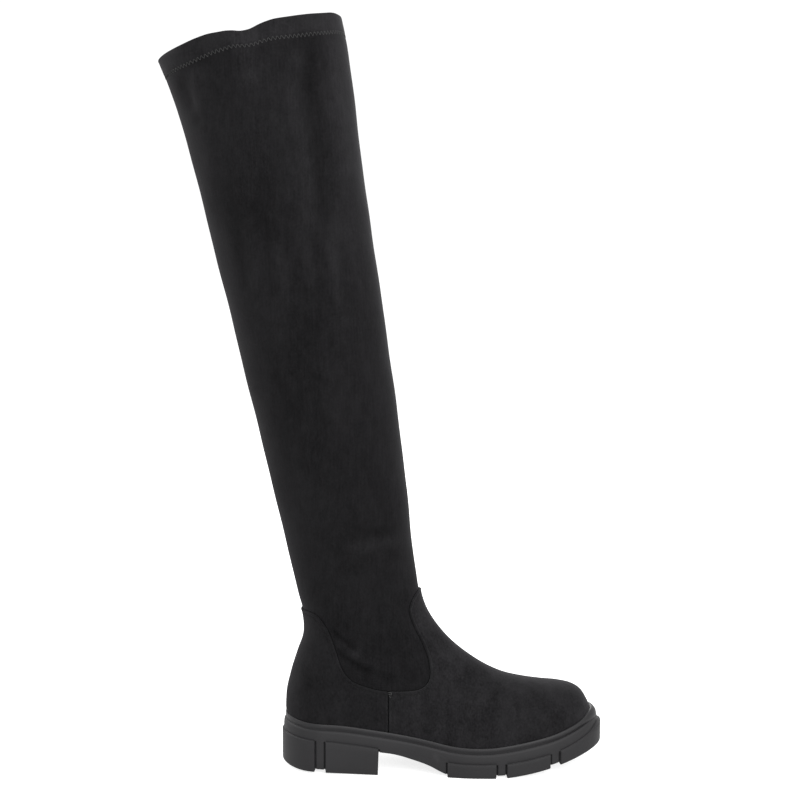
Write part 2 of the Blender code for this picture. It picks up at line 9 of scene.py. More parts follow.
import bpy
import numpy as np
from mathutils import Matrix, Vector


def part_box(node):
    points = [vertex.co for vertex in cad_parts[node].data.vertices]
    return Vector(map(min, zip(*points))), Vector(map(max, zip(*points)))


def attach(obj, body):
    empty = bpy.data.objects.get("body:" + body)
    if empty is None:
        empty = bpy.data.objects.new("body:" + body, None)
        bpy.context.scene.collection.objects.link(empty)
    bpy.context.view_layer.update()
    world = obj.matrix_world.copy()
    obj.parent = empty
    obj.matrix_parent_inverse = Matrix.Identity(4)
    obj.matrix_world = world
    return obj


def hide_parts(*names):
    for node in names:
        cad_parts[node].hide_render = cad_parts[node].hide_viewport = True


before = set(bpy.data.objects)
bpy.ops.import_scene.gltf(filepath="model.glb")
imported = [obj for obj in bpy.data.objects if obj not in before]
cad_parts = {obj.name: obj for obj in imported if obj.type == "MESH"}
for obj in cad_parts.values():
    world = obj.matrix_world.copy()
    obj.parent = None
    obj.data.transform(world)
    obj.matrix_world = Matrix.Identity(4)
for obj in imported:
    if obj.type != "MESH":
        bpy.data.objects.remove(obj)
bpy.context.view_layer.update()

MM = 0.001
NAP_AND_SHADE_ATTRIBUTE = "nap_and_shade"
SHIFT = np.array([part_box("sole")[0][0], 0.0, 0.0])
FAR = 1e9
TINY = 1e-12


def table(names, *rows):
    """Columns of a table as arrays, by name."""
    return {name: np.array(values, dtype=float) for name, values in zip(names.split(), zip(*rows))}


# Main sizes, equal or close to those of the solids
SOLE_LENGTH = 276.2
FEATHER_BACK = 7.3
FEATHER_FRONT = 265.0
FIT_GAP = 0.3
OVERLAY_WALL = 1.3
INSOLE_THICK = 3.0
INSOLE_INSET = 2.9
HEEL_ROUND = 31.0
TOE_ROUND = 62.0
TOE_SQUARE = 2.3
TOE_SHIFT = 6.0
TOE_SHIFT_FROM = 150.0
SOLE_MARGIN = 6.3
SOLE_HEEL_ROUND = 37.0
SOLE_TOE_ROUND = 68.0
TOE_SPRING = 19.3
TOE_SPRING_FROM = 186.0
TOE_SPRING_POWER = 1.45
HEEL_BEVEL = 2.9
HEEL_BEVEL_LENGTH = 24.0
HEEL_RISE = 1.8
HEEL_RISE_FROM = 83.0
HEEL_RISE_TO = 29.0
ANKLE_BLEND = (60.0, 150.0)
SEAM_X = 91.7

# Sections from the toe to the heel
FOOT_SECTIONS = table(
    "front_x front_z base_x round_to fullness",
    (264.8, 41.8, 264.2, 1.00, 2.4),
    (264.6, 48.6, 260.5, 1.00, 2.4),
    (261.6, 55.2, 254.5, 1.00, 2.4),
    (257.2, 61.6, 247.0, 1.00, 2.4),
    (249.4, 65.9, 238.5, 1.00, 2.4),
    (238.0, 68.3, 228.0, 1.00, 2.4),
    (224.0, 69.8, 215.0, 1.00, 2.3),
    (207.0, 72.6, 199.5, 1.00, 2.3),
    (190.2, 77.1, 183.0, 1.00, 2.2),
    (174.5, 84.6, 165.5, 0.98, 2.1),
    (160.2, 93.9, 147.0, 0.92, 2.0),
    (147.8, 103.7, 128.0, 0.84, 2.0),
    (137.9, 113.8, 108.0, 0.76, 2.0),
    (129.9, 124.2, 88.0, 0.69, 2.0),
    (124.0, 134.1, 68.0, 0.63, 2.0),
    (120.0, 144.5, 48.0, 0.58, 2.0),
    (117.6, 155.5, 27.0, 0.55, 2.0),
    (115.8, 167.0, 7.3, 0.52, 2.0),
)

# Sections from the heel to the collar
LEG_SECTIONS = table(
    "front_x front_z back_x back_z",
    (114.2, 178.0, 5.0, 60.0),
    (112.8, 190.0, 9.0, 80.0),
    (111.4, 203.0, 14.6, 98.0),
    (110.0, 217.0, 19.9, 114.0),
    (108.4, 232.0, 19.3, 131.0),
    (106.2, 250.0, 13.6, 152.0),
    (103.1, 276.0, 7.0, 182.0),
    (98.7, 312.0, -3.2, 226.0),
    (92.4, 358.0, -16.0, 281.0),
    (85.8, 404.5, -29.2, 337.0),
    (78.5, 455.0, -43.4, 397.0),
    (72.2, 499.0, -56.0, 449.0),
    (67.5, 534.0, -65.8, 489.5),
    (63.6, 567.0, -75.1, 527.0),
    (60.6, 592.0, -83.3, 555.5),
    (57.7, 612.5, -90.6, 577.0),
    (52.8, 636.2, -99.1, 600.2),
)
LEG_ROUND_TO = 0.5
LEG_FULLNESS = 2.0

# Rise and fall of the collar from the front ridge to the back
RIM_WAVE = table(
    "turn lift",
    (0.0, -1.8), (0.2, -0.7), (0.4, 0.6), (0.6, 0.5), (0.85, 0.9), (1.1, 1.3), (1.25, 1.5), (1.4, -0.2),
    (1.5, -2.35), (1.6, -2.2), (1.68, -0.3), (1.76, 1.05), (1.85, 1.75), (1.95, 2.5), (2.1, 2.45),
    (2.3, 0.95), (2.6, -0.4), (2.9, -1.6), (3.1416, -2.1),
)
RIM_WAVE_ROWS = 2.0
RIM_DIP_AT = 1.6
RIM_DIP_WIDTH = 0.34

# Half-widths of the feather line
PLAN = table(
    "x outer inner",
    (0.0, 28.5, 28.5), (40.0, 29.5, 29.0), (80.0, 31.0, 28.5), (105.0, 32.0, 29.5), (135.0, 36.0, 35.0),
    (160.0, 40.0, 40.0), (180.0, 41.5, 42.5), (200.0, 41.5, 43.5), (225.0, 40.0, 42.5), (265.0, 36.0, 39.0),
)

# Half-width of the ankle and leg, and how far the back is rounded off
LEG_WIDTH = table(
    "z half_width back_round",
    (40.0, 31.0, 31.0), (80.0, 32.5, 31.0), (120.0, 34.0, 36.0), (150.0, 35.0, 43.0), (180.0, 37.0, 50.0),
    (230.0, 42.5, 56.0), (316.0, 50.0, 61.0), (400.0, 55.0, 65.0), (484.0, 58.0, 69.0), (567.0, 60.0, 74.0),
    (640.0, 61.0, 77.0),
)

# Heights along the sole
SOLE_PROFILE = table(
    "x platform_z step_z",
    (0.0, 42.0, 31.0), (10.0, 40.0, 30.0), (20.0, 38.5, 29.1), (35.0, 37.6, 28.3), (50.0, 36.8, 26.8),
    (75.0, 33.7, 23.6), (91.0, 31.3, 21.0), (124.0, 25.6, 15.9), (146.0, 21.2, 12.1), (165.0, 20.0, 11.4),
    (180.0, 20.5, 11.6), (195.0, 22.4, 12.4), (215.0, 25.9, 15.5), (237.0, 30.5, 20.3), (252.0, 35.3, 25.3),
    (262.0, 39.3, 29.6), (277.0, 46.5, 37.2),
)

# Lower edge of the waist between heel and forefoot
WAIST = table(
    "x edge_z",
    (83.2, 19.3), (97.0, 17.4), (112.0, 13.4), (127.0, 8.3), (137.0, 3.4), (141.5, 1.6),
)

# Lug blocks of the sole from heel to toe: where they start and end
BLOCKS = (
    (-9.0, 28.9), (38.5, 83.2), (141.5, 182.7), (191.8, 229.1), (238.0, 284.0),
)

# Throat line in the side view, x and z, from the back of the heel, down in a U and up to the instep
THROAT = np.array((
    (-30.0, 135.8), (8.0, 136.5), (19.0, 136.9), (24.6, 136.9), (30.0, 135.8), (34.0, 132.6), (37.5, 128.4),
    (40.9, 123.6), (43.7, 117.4), (46.0, 110.6), (48.0, 103.7), (49.8, 97.4), (52.2, 90.8), (55.6, 84.9),
    (60.5, 80.0), (66.2, 76.8), (74.1, 74.1), (82.1, 72.1), (91.7, 71.0), (104.7, 70.9), (112.6, 71.3),
    (118.3, 72.5), (122.8, 75.0), (125.9, 78.8), (127.3, 83.6), (127.3, 88.5), (126.3, 95.0),
    (124.6, 100.7), (121.8, 108.0), (118.4, 115.0), (115.0, 121.6), (111.8, 128.6), (109.8, 134.4),
    (109.2, 138.6), (110.1, 142.9), (112.2, 147.2), (115.1, 151.0), (119.0, 153.6), (126.0, 156.5),
    (160.0, 168.0),
))
THROAT_STEPS = 40

# Soft folds on the outer side of the leg: half-width, height and the line they run along in the side view
OUTER_FOLDS = (
    (6.5, -0.9, ((27.0, 608.0), (29.5, 575.0), (32.3, 539.0), (36.0, 505.0), (39.8, 470.0))),
    (7.0, 0.6, ((19.6, 592.0), (15.1, 561.0), (23.5, 531.7), (27.0, 495.0), (29.0, 461.0))),
    (7.0, 0.7, ((47.0, 602.0), (50.0, 547.0), (56.0, 508.0))),
    (6.0, 0.7, ((-62.4, 582.5), (-61.0, 556.0))),
    (5.0, -0.7, ((-73.0, 574.0), (-61.5, 548.0))),
    (9.0, -0.9, ((-60.0, 607.0), (-56.0, 596.0))),
    (9.5, 1.1, ((-27.0, 613.0), (-23.0, 598.0), (-19.0, 582.0))),
    (6.0, -0.5, ((-30.9, 479.0), (-24.5, 415.0))),
    (6.0, -0.6, ((-9.4, 479.0), (-2.3, 407.0))),
    (6.0, -0.45, ((7.0, 455.0), (23.5, 406.0))),
    (6.0, -0.6, ((31.3, 455.5), (43.7, 402.0))),
    (5.0, -0.4, ((53.3, 443.0), (58.9, 403.0))),
    (5.0, 0.4, ((-21.0, 454.0), (-16.0, 415.0))),
    (5.0, 0.4, ((0.1, 447.0), (7.7, 410.0))),
    (5.0, 0.4, ((23.4, 450.0), (28.0, 418.0))),
    (5.0, 0.6, ((44.5, 447.0), (53.3, 382.0))),
    (3.2, -0.5, ((12.4, 342.3), (20.4, 334.4))),
    (3.2, -0.5, ((30.8, 341.0), (40.7, 333.7))),
    (4.5, -0.4, ((8.4, 326.6), (18.8, 300.0))),
    (4.5, -0.4, ((30.0, 328.0), (37.4, 300.0))),
    (5.0, 0.7, ((62.0, 196.0), (97.0, 199.0))),
    (5.0, -0.6, ((60.0, 213.0), (86.0, 207.5))),
    (3.0, -1.2, ((46.5, 122.0), (54.0, 115.0), (62.5, 108.5))),
    (3.2, 0.8, ((49.0, 114.0), (64.0, 101.5))),
    (3.2, -1.2, ((48.8, 105.6), (60.0, 97.0), (72.0, 90.0))),
    (3.6, -0.6, ((76.0, 88.0), (92.0, 80.6))),
    (4.0, 0.5, ((64.0, 104.0), (84.0, 92.0))),
)
INNER_FOLD_SHIFT = (5.0, -9.0)
INNER_FOLD_SHARE = 0.8
FOLD_HEIGHT = 1.5
FOLD_FADE = (3.0, 20.0)
FOLD_EDGE = 4.0
FOLD_EDGE_TOP = 180.0

# Slow waves of the leg cloth: wavelengths along x, y, z, start and height
WAVES = (
    (62.0, 74.0, 190.0, 0.4, 0.16),
    (-47.0, 90.0, 240.0, 2.1, 0.12),
    (88.0, -58.0, 71.0, 4.0, 0.14),
    (-120.0, 66.0, 52.0, 5.2, 0.10),
)

# Tone stored on the leg: painted highlight along fold ridges, painted shade in fold troughs, a lighter doubled
# hem and darker towards the ankle
PAINTED_RIDGE_HIGHLIGHT = 0.45
PAINTED_TROUGH_SHADE = 0.28
HEM_TONE = 0.56
HEM_TONE_OVER = (-1.0, 2.0)
ANKLE_TONE = -0.13
ANKLE_TONE_OVER = (290.0, 420.0)


def smooth_curve(at, known_at, known):
    """Cubic through known points, with slopes taken from the neighbours on both sides."""
    slope = np.gradient(known, known_at)
    at = np.clip(np.asarray(at, dtype=float), known_at[0], known_at[-1])
    i = np.clip(np.searchsorted(known_at, at, side="right") - 1, 0, len(known_at) - 2)
    span = known_at[i + 1] - known_at[i]
    t = (at - known_at[i]) / span
    rise = known[i] * (1.0 + 2.0 * t) * (1.0 - t) ** 2 + known[i + 1] * t * t * (3.0 - 2.0 * t)
    lean = slope[i] * t * (1.0 - t) ** 2 - slope[i + 1] * t * t * (1.0 - t)
    return rise + span * lean


def ease(value, low, high):
    """Soft step from 0 at low to 1 at high."""
    t = np.clip((np.asarray(value, dtype=float) - low) / (high - low), 0.0, 1.0)
    return t * t * (3.0 - 2.0 * t)


def bell(value, middle, width):
    """Soft hump of height 1."""
    return np.exp(-((np.asarray(value, dtype=float) - middle) / width) ** 2)


def quarter_round(distance, length, fullness=2.0):
    """Rounding that starts upright at distance 0 and is full at the given length."""
    rest = 1.0 - np.clip(distance / length, 0.0, 1.0)
    return np.sqrt(np.clip(1.0 - rest ** fullness, 0.0, 1.0))


def end_shares(count):
    """Shares from 0 to 1, closer together towards both ends."""
    return 0.5 * (1.0 - np.cos(np.linspace(0.0, math.pi, count)))


def unit(vectors):
    """Vectors brought to length 1."""
    return vectors / np.linalg.norm(vectors, axis=1, keepdims=True)


def path_length(points):
    """Distance run along a path, or along each path of several."""
    step = np.linalg.norm(np.diff(points, axis=-2), axis=-1)
    return np.concatenate([np.zeros(step.shape[:-1] + (1,)), np.cumsum(step, axis=-1)], axis=-1)


def edge_distance(points, edge):
    """Distance of points from a polyline."""
    best = np.full(points.shape[:-1], FAR)
    for start, step in zip(edge, np.diff(edge, axis=0)):
        t = np.clip(((points - start) @ step) / max(step @ step, TINY), 0.0, 1.0)
        best = np.minimum(best, np.linalg.norm(points - start - t[..., None] * step, axis=-1))
    return best


def sole_height(x, name):
    """Height of the platform or of the step line at x."""
    return smooth_curve(x, SOLE_PROFILE["x"], SOLE_PROFILE[name])


def over_platform(flat, lift):
    """Plan points set at a height over the platform."""
    return np.column_stack([flat, sole_height(flat[:, 0], "platform_z") + lift])


def tread_height(x):
    """Underside of the lug blocks: flat, with a bevel at the heel and the toe spring."""
    spring = np.clip((x - TOE_SPRING_FROM) / (SOLE_LENGTH - TOE_SPRING_FROM), 0.0, 1.0)
    bevel = np.clip(1.0 - x / HEEL_BEVEL_LENGTH, 0.0, 1.0)
    rise = np.clip((HEEL_RISE_FROM - x) / (HEEL_RISE_FROM - HEEL_RISE_TO), 0.0, 1.0)
    return TOE_SPRING * spring ** TOE_SPRING_POWER + HEEL_BEVEL * bevel ** 2 + HEEL_RISE * rise


def toe_centre(x):
    """The middle line swings to the inner side towards the toe."""
    return TOE_SHIFT * ease(x, TOE_SHIFT_FROM, FEATHER_FRONT)


def plan_half(x, side, front, toe_round, margin=0.0):
    """Half-width in plan on one side, with the toe rounded off and the heel still full."""
    half = smooth_curve(x, PLAN["x"], PLAN[side]) + margin
    return half * quarter_round(front - np.asarray(x, dtype=float), toe_round, TOE_SQUARE)


# The sections in one row from toe to collar
SECTION_X, SECTION_Z = (np.concatenate([FOOT_SECTIONS[name], LEG_SECTIONS[name]])
                        for name in ("front_x", "front_z"))
BASE_X = np.concatenate([FOOT_SECTIONS["base_x"], LEG_SECTIONS["back_x"]])
BASE_Z = np.concatenate([sole_height(FOOT_SECTIONS["base_x"], "platform_z") + FIT_GAP,
                         LEG_SECTIONS["back_z"]])
LEG_COUNT = len(LEG_SECTIONS["front_x"])
ROUND_TO = np.concatenate([FOOT_SECTIONS["round_to"], np.full(LEG_COUNT, LEG_ROUND_TO)])
FULLNESS = np.concatenate([FOOT_SECTIONS["fullness"], np.full(LEG_COUNT, LEG_FULLNESS)])
ROWS = np.arange(len(SECTION_X), dtype=float)
COLLAR_ROW = len(SECTION_X) - 1
HEEL_ROW = COLLAR_ROW - LEG_COUNT
BACK_SAMPLES = 1500


def at_row(row, values):
    """Value of the sections at a row, also between them."""
    return smooth_curve(row, ROWS, values)


BACK_ROWS = np.linspace(HEEL_ROW, COLLAR_ROW, BACK_SAMPLES)
BACK_LINE_X = at_row(BACK_ROWS, BASE_X)
BACK_LINE_Z = at_row(BACK_ROWS, BASE_Z)


def leg_value(z, name):
    """Half-width or back rounding of the leg at a height."""
    return smooth_curve(z, LEG_WIDTH["z"], LEG_WIDTH[name])


def turn_at(share):
    """Turn at a share of the way from the ridge to the base line."""
    return np.arccos(1.0 - 2.0 * share)


def last_point(row, turn):
    """Outer face of the upper: row picks the section, turn runs from -pi over the ridge at 0 to pi."""
    row, turn = np.broadcast_arrays(np.asarray(row, dtype=float), np.asarray(turn, dtype=float))
    along = 0.5 * (1.0 - np.cos(turn))
    front_x, front_z, base_x, base_z = (at_row(row, v) for v in (SECTION_X, SECTION_Z, BASE_X, BASE_Z))
    x = front_x + (base_x - front_x) * along
    z = front_z + (base_z - front_z) * along
    outer, inner = (plan_half(base_x, side, FEATHER_FRONT, TOE_ROUND) for side in ("outer", "inner"))
    foot = np.where(turn < 0.0, outer, inner)
    mix = ease(z, *ANKLE_BLEND)
    half = foot * (1.0 - mix) + leg_value(z, "half_width") * mix
    front_round = quarter_round(along, at_row(row, ROUND_TO), at_row(row, FULLNESS))
    back_x = np.interp(z, BACK_LINE_Z, BACK_LINE_X)
    back_round = quarter_round(x - back_x, leg_value(z, "back_round"))
    y = toe_centre(base_x) + np.sign(turn) * half * front_round * back_round
    wave = smooth_curve(np.abs(turn), RIM_WAVE["turn"], RIM_WAVE["lift"])
    z = z + wave * ease(row, COLLAR_ROW - RIM_WAVE_ROWS, COLLAR_ROW)
    return np.stack([x, y, z], axis=-1)


def grid_faces(index):
    """Four-sided faces between the neighbours of an index grid, or of each grid of several."""
    corners = (index[..., :-1, :-1], index[..., :-1, 1:], index[..., 1:, 1:], index[..., 1:, :-1])
    return np.stack(corners, axis=-1).reshape(-1, 4)


def tube_index(rows, columns, closed=slice(None)):
    """Numbers of a grid's points, where closed rows end on their first point."""
    index = np.arange(rows * columns).reshape(rows, columns)
    index[closed, -1] = index[closed, 0]
    return index


def ring_faces(levels, around, closed=False):
    """Faces between rings of points; closed joins the last ring to the first."""
    index = np.arange(levels * around).reshape(levels, around)
    return grid_faces(np.pad(index, ((0, int(closed)), (0, 1)), mode="wrap"))


def vertex_normals(points, faces):
    """Normals of points, weighted by the size of the faces round them."""
    corner = points[faces]
    face = np.cross(corner[:, 2] - corner[:, 0], corner[:, 3] - corner[:, 1])
    total = np.zeros_like(points)
    for k in range(4):
        np.add.at(total, faces[:, k], face)
    return total / np.maximum(np.linalg.norm(total, axis=1, keepdims=True), TINY)


def add_object(name, data):
    """Object in the scene for a mesh, light or camera."""
    made = bpy.data.objects.new(name, data)
    bpy.context.scene.collection.objects.link(made)
    return made


def make_piece(name, points, faces, material, nodes=(), nap_and_shade=None):
    """Smooth mesh piece that rides on the boot, without loose points or empty faces."""
    faces = [list(dict.fromkeys(int(v) for v in face)) for face in faces]
    faces = [face for face in faces if len(face) > 2]
    used = np.unique(np.concatenate(faces))
    place = np.full(len(points), -1)
    place[used] = np.arange(len(used))
    mesh = bpy.data.meshes.new(name)
    local = np.asarray(points)[used] * MM + SHIFT
    mesh.from_pydata(local.tolist(), [], [place[face].tolist() for face in faces])
    mesh.update()
    mesh.shade_smooth()
    mesh.materials.append(material)
    # Per-point tone, with painted highlight and shade of the leg's folds
    if nap_and_shade is not None:
        tone = mesh.attributes.new(NAP_AND_SHADE_ATTRIBUTE, "FLOAT", "POINT")
        tone.data.foreach_set("value", np.asarray(nap_and_shade, dtype=np.float32)[used])
    piece = add_object(name, mesh)
    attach(piece, "root")
    if nodes:
        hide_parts(*nodes)


# Leg
LEG_FROM_ROW = 10.8
LEG_ROW_STEP = 1.75
LEG_ROW_SAMPLES = 4000
LEG_COLUMNS_AROUND = 236
SIDE_TURN = -0.5 * math.pi
BACK_SEAM_TURNS = (0.004, 0.009, 0.014, 0.02)
BACK_SEAM_DEPTH = 0.45
BACK_SEAM_WIDTH = 0.009
HEM_ROW = COLLAR_ROW - 0.65
HEM_STEP = 0.25
HEM_EDGE = 3.0
HEM_GROOVE = 0.3
HEM_GROOVE_WIDTH = 1.6
HEM_EXTRA = (-2.6, -1.3, -0.9, -0.5, -0.2, 0.1, 0.4, 0.8, 1.3, 2.2)
HEM_LEVEL_ROWS = 0.15
HEM_LEVEL_FROM = COLLAR_ROW - 2.2
HEM_STITCH_AT = 0.0
RIM_ANGLES = (22.0, 48.0, 74.0, 106.0, 132.0, 158.0)
RIM_FLAT = 0.75
RIM_DROP = 0.5
RIM_LOOK_BACK = 4
INNER_LIFT = -1.6
INNER_HEM_ROWS = 0.85
INNER_HEM_COUNT = 14


def throat_distance(x, z):
    """Side-view distance from the throat line, for points by the ankle."""
    best = np.full(x.shape, FOLD_EDGE)
    low = z < FOLD_EDGE_TOP
    best[low] = np.minimum(best[low], edge_distance(np.stack([x[low], z[low]], axis=-1), THROAT))
    return best


def fold_height(points):
    """Height of the folds at points of the leg, before it is exaggerated."""
    x, y, z = points[..., 0], points[..., 1], points[..., 2]
    total = np.zeros(x.shape)
    for side, share, shift in ((-1.0, 1.0, (0.0, 0.0)), (1.0, INNER_FOLD_SHARE, INNER_FOLD_SHIFT)):
        reach = ease(side * y, *FOLD_FADE) * share
        for width, height, line in OUTER_FOLDS:
            away = np.full(x.shape, FAR)
            for (start_x, start_z), (end_x, end_z) in zip(line, line[1:]):
                from_x, from_z = x - start_x - shift[0], z - start_z - shift[1]
                run_x, run_z = end_x - start_x, end_z - start_z
                t = np.clip((from_x * run_x + from_z * run_z) / (run_x ** 2 + run_z ** 2), 0.0, 1.0)
                away = np.minimum(away, np.hypot(from_x - t * run_x, from_z - t * run_z))
            total += reach * height * bell(away, 0.0, width)
    return total * ease(throat_distance(x, z), 0.0, FOLD_EDGE)


def fold_lift(points):
    """Height of the folds and slow waves at points of the leg."""
    x, y, z = points[..., 0], points[..., 1], points[..., 2]
    total = FOLD_HEIGHT * fold_height(points)
    for wave_x, wave_y, wave_z, start, height in WAVES:
        total += height * np.sin(2.0 * math.pi * (x / wave_x + y / wave_y + z / wave_z) + start)
    return total


def leg_nap_and_painted_shade(points, past_hem):
    """Tone of the leg: painted highlight on fold ridges and painted shade in fold troughs, lighter on the
    doubled hem, darker towards the ankle.
    """
    fold = fold_height(points)
    ridge = PAINTED_RIDGE_HIGHLIGHT * np.maximum(fold, 0.0) + PAINTED_TROUGH_SHADE * np.minimum(fold, 0.0)
    low = ANKLE_TONE * (1.0 - ease(points[..., 2], *ANKLE_TONE_OVER))
    return 1.0 + ridge + low + HEM_TONE * ease(past_hem, *HEM_TONE_OVER)[:, None]


def leg_turns():
    """Turns round the leg, even but for a few more at the back seam."""
    turns = np.linspace(-math.pi, math.pi, LEG_COLUMNS_AROUND + 1)
    near_back = math.pi - np.array(BACK_SEAM_TURNS)
    return np.unique(np.concatenate([turns, near_back, -near_back]))


def leg_rows():
    """Rows of the leg with even steps, closer at the hem, and their distance from the hem's edge."""
    fine = np.linspace(LEG_FROM_ROW, COLLAR_ROW, LEG_ROW_SAMPLES)
    run = path_length(last_point(fine, np.full_like(fine, SIDE_TURN)))
    hem_run = np.interp(HEM_ROW, fine, run)
    even = np.arange(0.0, run[-1], LEG_ROW_STEP)
    even = even[np.abs(even - hem_run) > max(HEM_EXTRA)]
    places = np.sort(np.concatenate([even, hem_run + np.array(HEM_EXTRA), [run[-1]]]))
    return np.interp(places, run, fine), places - hem_run


def level_hem(row, turn):
    """The hem's edge stays level where the rim dips in the middle of each side."""
    dip = bell(np.abs(turn), RIM_DIP_AT, RIM_DIP_WIDTH)
    below = ease(row, HEM_LEVEL_FROM, HEM_ROW)
    above = np.clip((COLLAR_ROW - row) / (COLLAR_ROW - HEM_ROW), 0.0, 1.0)
    return row + HEM_LEVEL_ROWS * dip * np.where(row < HEM_ROW, below, above)


def hem_lift(distance):
    """Step up onto the doubled hem, with the groove of its stitches."""
    return HEM_STEP * ease(distance, 0.0, HEM_EDGE) - HEM_GROOVE * bell(distance, 0.0, HEM_GROOVE_WIDTH)


def make_leg(material, hem_thread):
    """Leg skin with the folded hem, its rim and the first stretch of the inside, and the hem's stitches."""
    rows, past_hem = leg_rows()
    turns = leg_turns()
    base = last_point(level_hem(rows[:, None], turns[None, :]), turns[None, :])
    count_rows, count_turns = base.shape[:2]
    closed = rows >= HEEL_ROW
    index = tube_index(count_rows, count_turns, closed)
    normals = vertex_normals(base.reshape(-1, 3), grid_faces(index))[index]
    back_seam = BACK_SEAM_DEPTH * bell(math.pi - np.abs(turns), 0.0, BACK_SEAM_WIDTH)[None, :]
    folds = fold_lift(base) - back_seam * closed[:, None]
    outer = base + normals * (folds + hem_lift(past_hem)[:, None])[..., None]

    top = outer[-1] - normals[-1] * HEM_STEP
    upward = unit(outer[-1] - outer[-RIM_LOOK_BACK])
    middle = 0.5 * (HEM_STEP + INNER_LIFT)
    radius = 0.5 * (HEM_STEP - INNER_LIFT)
    rim = []
    for angle in RIM_ANGLES:
        swing = math.radians(angle)
        out = middle + radius * math.cos(swing)
        rim.append(top + normals[-1] * out + upward * (RIM_FLAT * radius * math.sin(swing)))

    inner_rows = np.linspace(COLLAR_ROW, COLLAR_ROW - INNER_HEM_ROWS, INNER_HEM_COUNT)
    inner_base = last_point(inner_rows[:, None], turns[None, :])
    inner_index = tube_index(INNER_HEM_COUNT, count_turns)
    inner_normals = -vertex_normals(inner_base.reshape(-1, 3), grid_faces(inner_index))[inner_index]
    inside = inner_base + inner_normals * (INNER_LIFT + fold_lift(inner_base))[..., None]

    stack = np.concatenate([outer, np.array(rim), inside])
    stack[count_rows - 1:count_rows + len(rim) + 1, :, 2] -= RIM_DROP
    shut = np.concatenate([closed, np.ones(len(stack) - count_rows, dtype=bool)])
    # Stored tone: painted highlight on fold ridges, painted shade in troughs, lighter hem
    nap_and_shade = np.full(stack.shape[:2], 1.0 + HEM_TONE)
    nap_and_shade[:count_rows] = leg_nap_and_painted_shade(base, past_hem)
    make_piece("leg_skin", stack.reshape(-1, 3), grid_faces(tube_index(len(stack), count_turns, shut)),
               material, ["upper"], nap_and_shade.ravel())

    line = np.argmin(np.abs(past_hem - HEM_STITCH_AT))
    stitch_zigzag(outer[line], normals[line], outer[line + 1] - outer[line - 1], hem_thread)


# Threads
ZIGZAG_STEP = 1.8
ZIGZAG_HALF = 1.65
ZIGZAG_LIFT = 0.12
ZIGZAG_BOW = 0.22
HEM_THREAD_RADIUS = 0.21
STITCH_PITCH = 3.0
STITCH_LENGTH = 2.2
STITCH_RADIUS = 0.2
STITCH_BOW = 0.25
STITCH_INSET = 2.6
THREAD_SIDES = 6
THREAD_RINGS = 5
BOW_POWER = 0.6
BOW_REACH = 1.6
BOW_DIP = 0.6


def tubes(starts, ends, outs, radius, bow, name, material):
    """Short threads from starts to ends as one mesh, each bowed outwards and dipping in at its ends."""
    share = np.linspace(0.0, 1.0, THREAD_RINGS)
    run = ends - starts
    along = unit(run)
    side = unit(np.cross(along, outs))
    up = np.cross(side, along)
    lift = bow * (np.sin(math.pi * share) ** BOW_POWER * BOW_REACH - BOW_DIP)
    centre = starts[:, None] + run[:, None] * share[None, :, None] + up[:, None] * lift[None, :, None]
    angle = np.linspace(0.0, 2.0 * math.pi, THREAD_SIDES, endpoint=False)
    ring = side[:, None] * np.cos(angle)[None, :, None] + up[:, None] * np.sin(angle)[None, :, None]
    points = centre[:, :, None] + (ring * radius)[:, None]
    index = np.arange(len(starts) * THREAD_RINGS * THREAD_SIDES).reshape(-1, THREAD_RINGS, THREAD_SIDES)
    faces = grid_faces(np.concatenate([index, index[:, :, :1]], axis=2))
    make_piece(name, points.reshape(-1, 3), faces, material)


def even_path(points, extra, step):
    """Path at even steps, with another vector per point carried along."""
    run = path_length(points)
    count = max(int(run[-1] / step), 2)
    at = np.linspace(0.0, run[-1], count + 1)
    place, carried = (np.column_stack([np.interp(at, run, values[:, k]) for k in range(3)])
                      for values in (points, extra))
    return place, unit(carried)


def stitch_zigzag(line, outs, upward, material):
    """Zigzag thread round the hem."""
    place, out = even_path(line, outs, ZIGZAG_STEP)
    _, up = even_path(line, unit(upward), ZIGZAG_STEP)
    swing = ZIGZAG_HALF * (1.0 - 2.0 * (np.arange(len(place)) % 2))[:, None]
    knots = place + up * swing + out * ZIGZAG_LIFT
    tubes(knots[:-1], knots[1:], out[:-1], HEM_THREAD_RADIUS, ZIGZAG_BOW,
          "hem_stitches", material)


def stitch_row(line, outs):
    """Starts, ends and outward directions of straight stitches along a line."""
    place, out = even_path(line, outs, STITCH_PITCH)
    step = np.diff(place, axis=0) * (STITCH_LENGTH / STITCH_PITCH)
    return place[:-1], place[:-1] + step, out[:-1]


# Overlays
OVERLAY_LIFT = FIT_GAP + OVERLAY_WALL
EDGE_SINK = 0.7
EDGE_ROUND = 0.95
EDGE_ROLL = 0.25
EDGE_ROLL_AT = 1.15
EDGE_ROLL_WIDTH = 0.8
STITCH_SINK = 0.25
STITCH_SINK_WIDTH = 0.6
EDGE_STEP = 1.15
EDGE_LEVELS = (0.0, 0.12, 0.28, 0.5, 0.75, 1.05, 1.4, 1.9, 2.5, 3.1, 4.0, 5.2)
EDGE_ZONE = 14.0
VAMP_LEVELS = 76
QUARTER_LEVELS = 46
PATH_SAMPLES = 260
RIDGE_TURN = 1e-9
# Rows in which the throat and seams are looked for, and how far from the middle of a section they may lie
SEARCH_ROWS = np.linspace(9.0, 24.0, 4501)
SEARCH_REACH = 0.75
SEAM_HALF_GAP = 0.45
SEAM_TOP = 71.0
SEAM_FOOT = 24.0
SEAM_SAMPLES = 120
# Only the bottom of the throat's U lies under this height
THROAT_LOW = 73.0
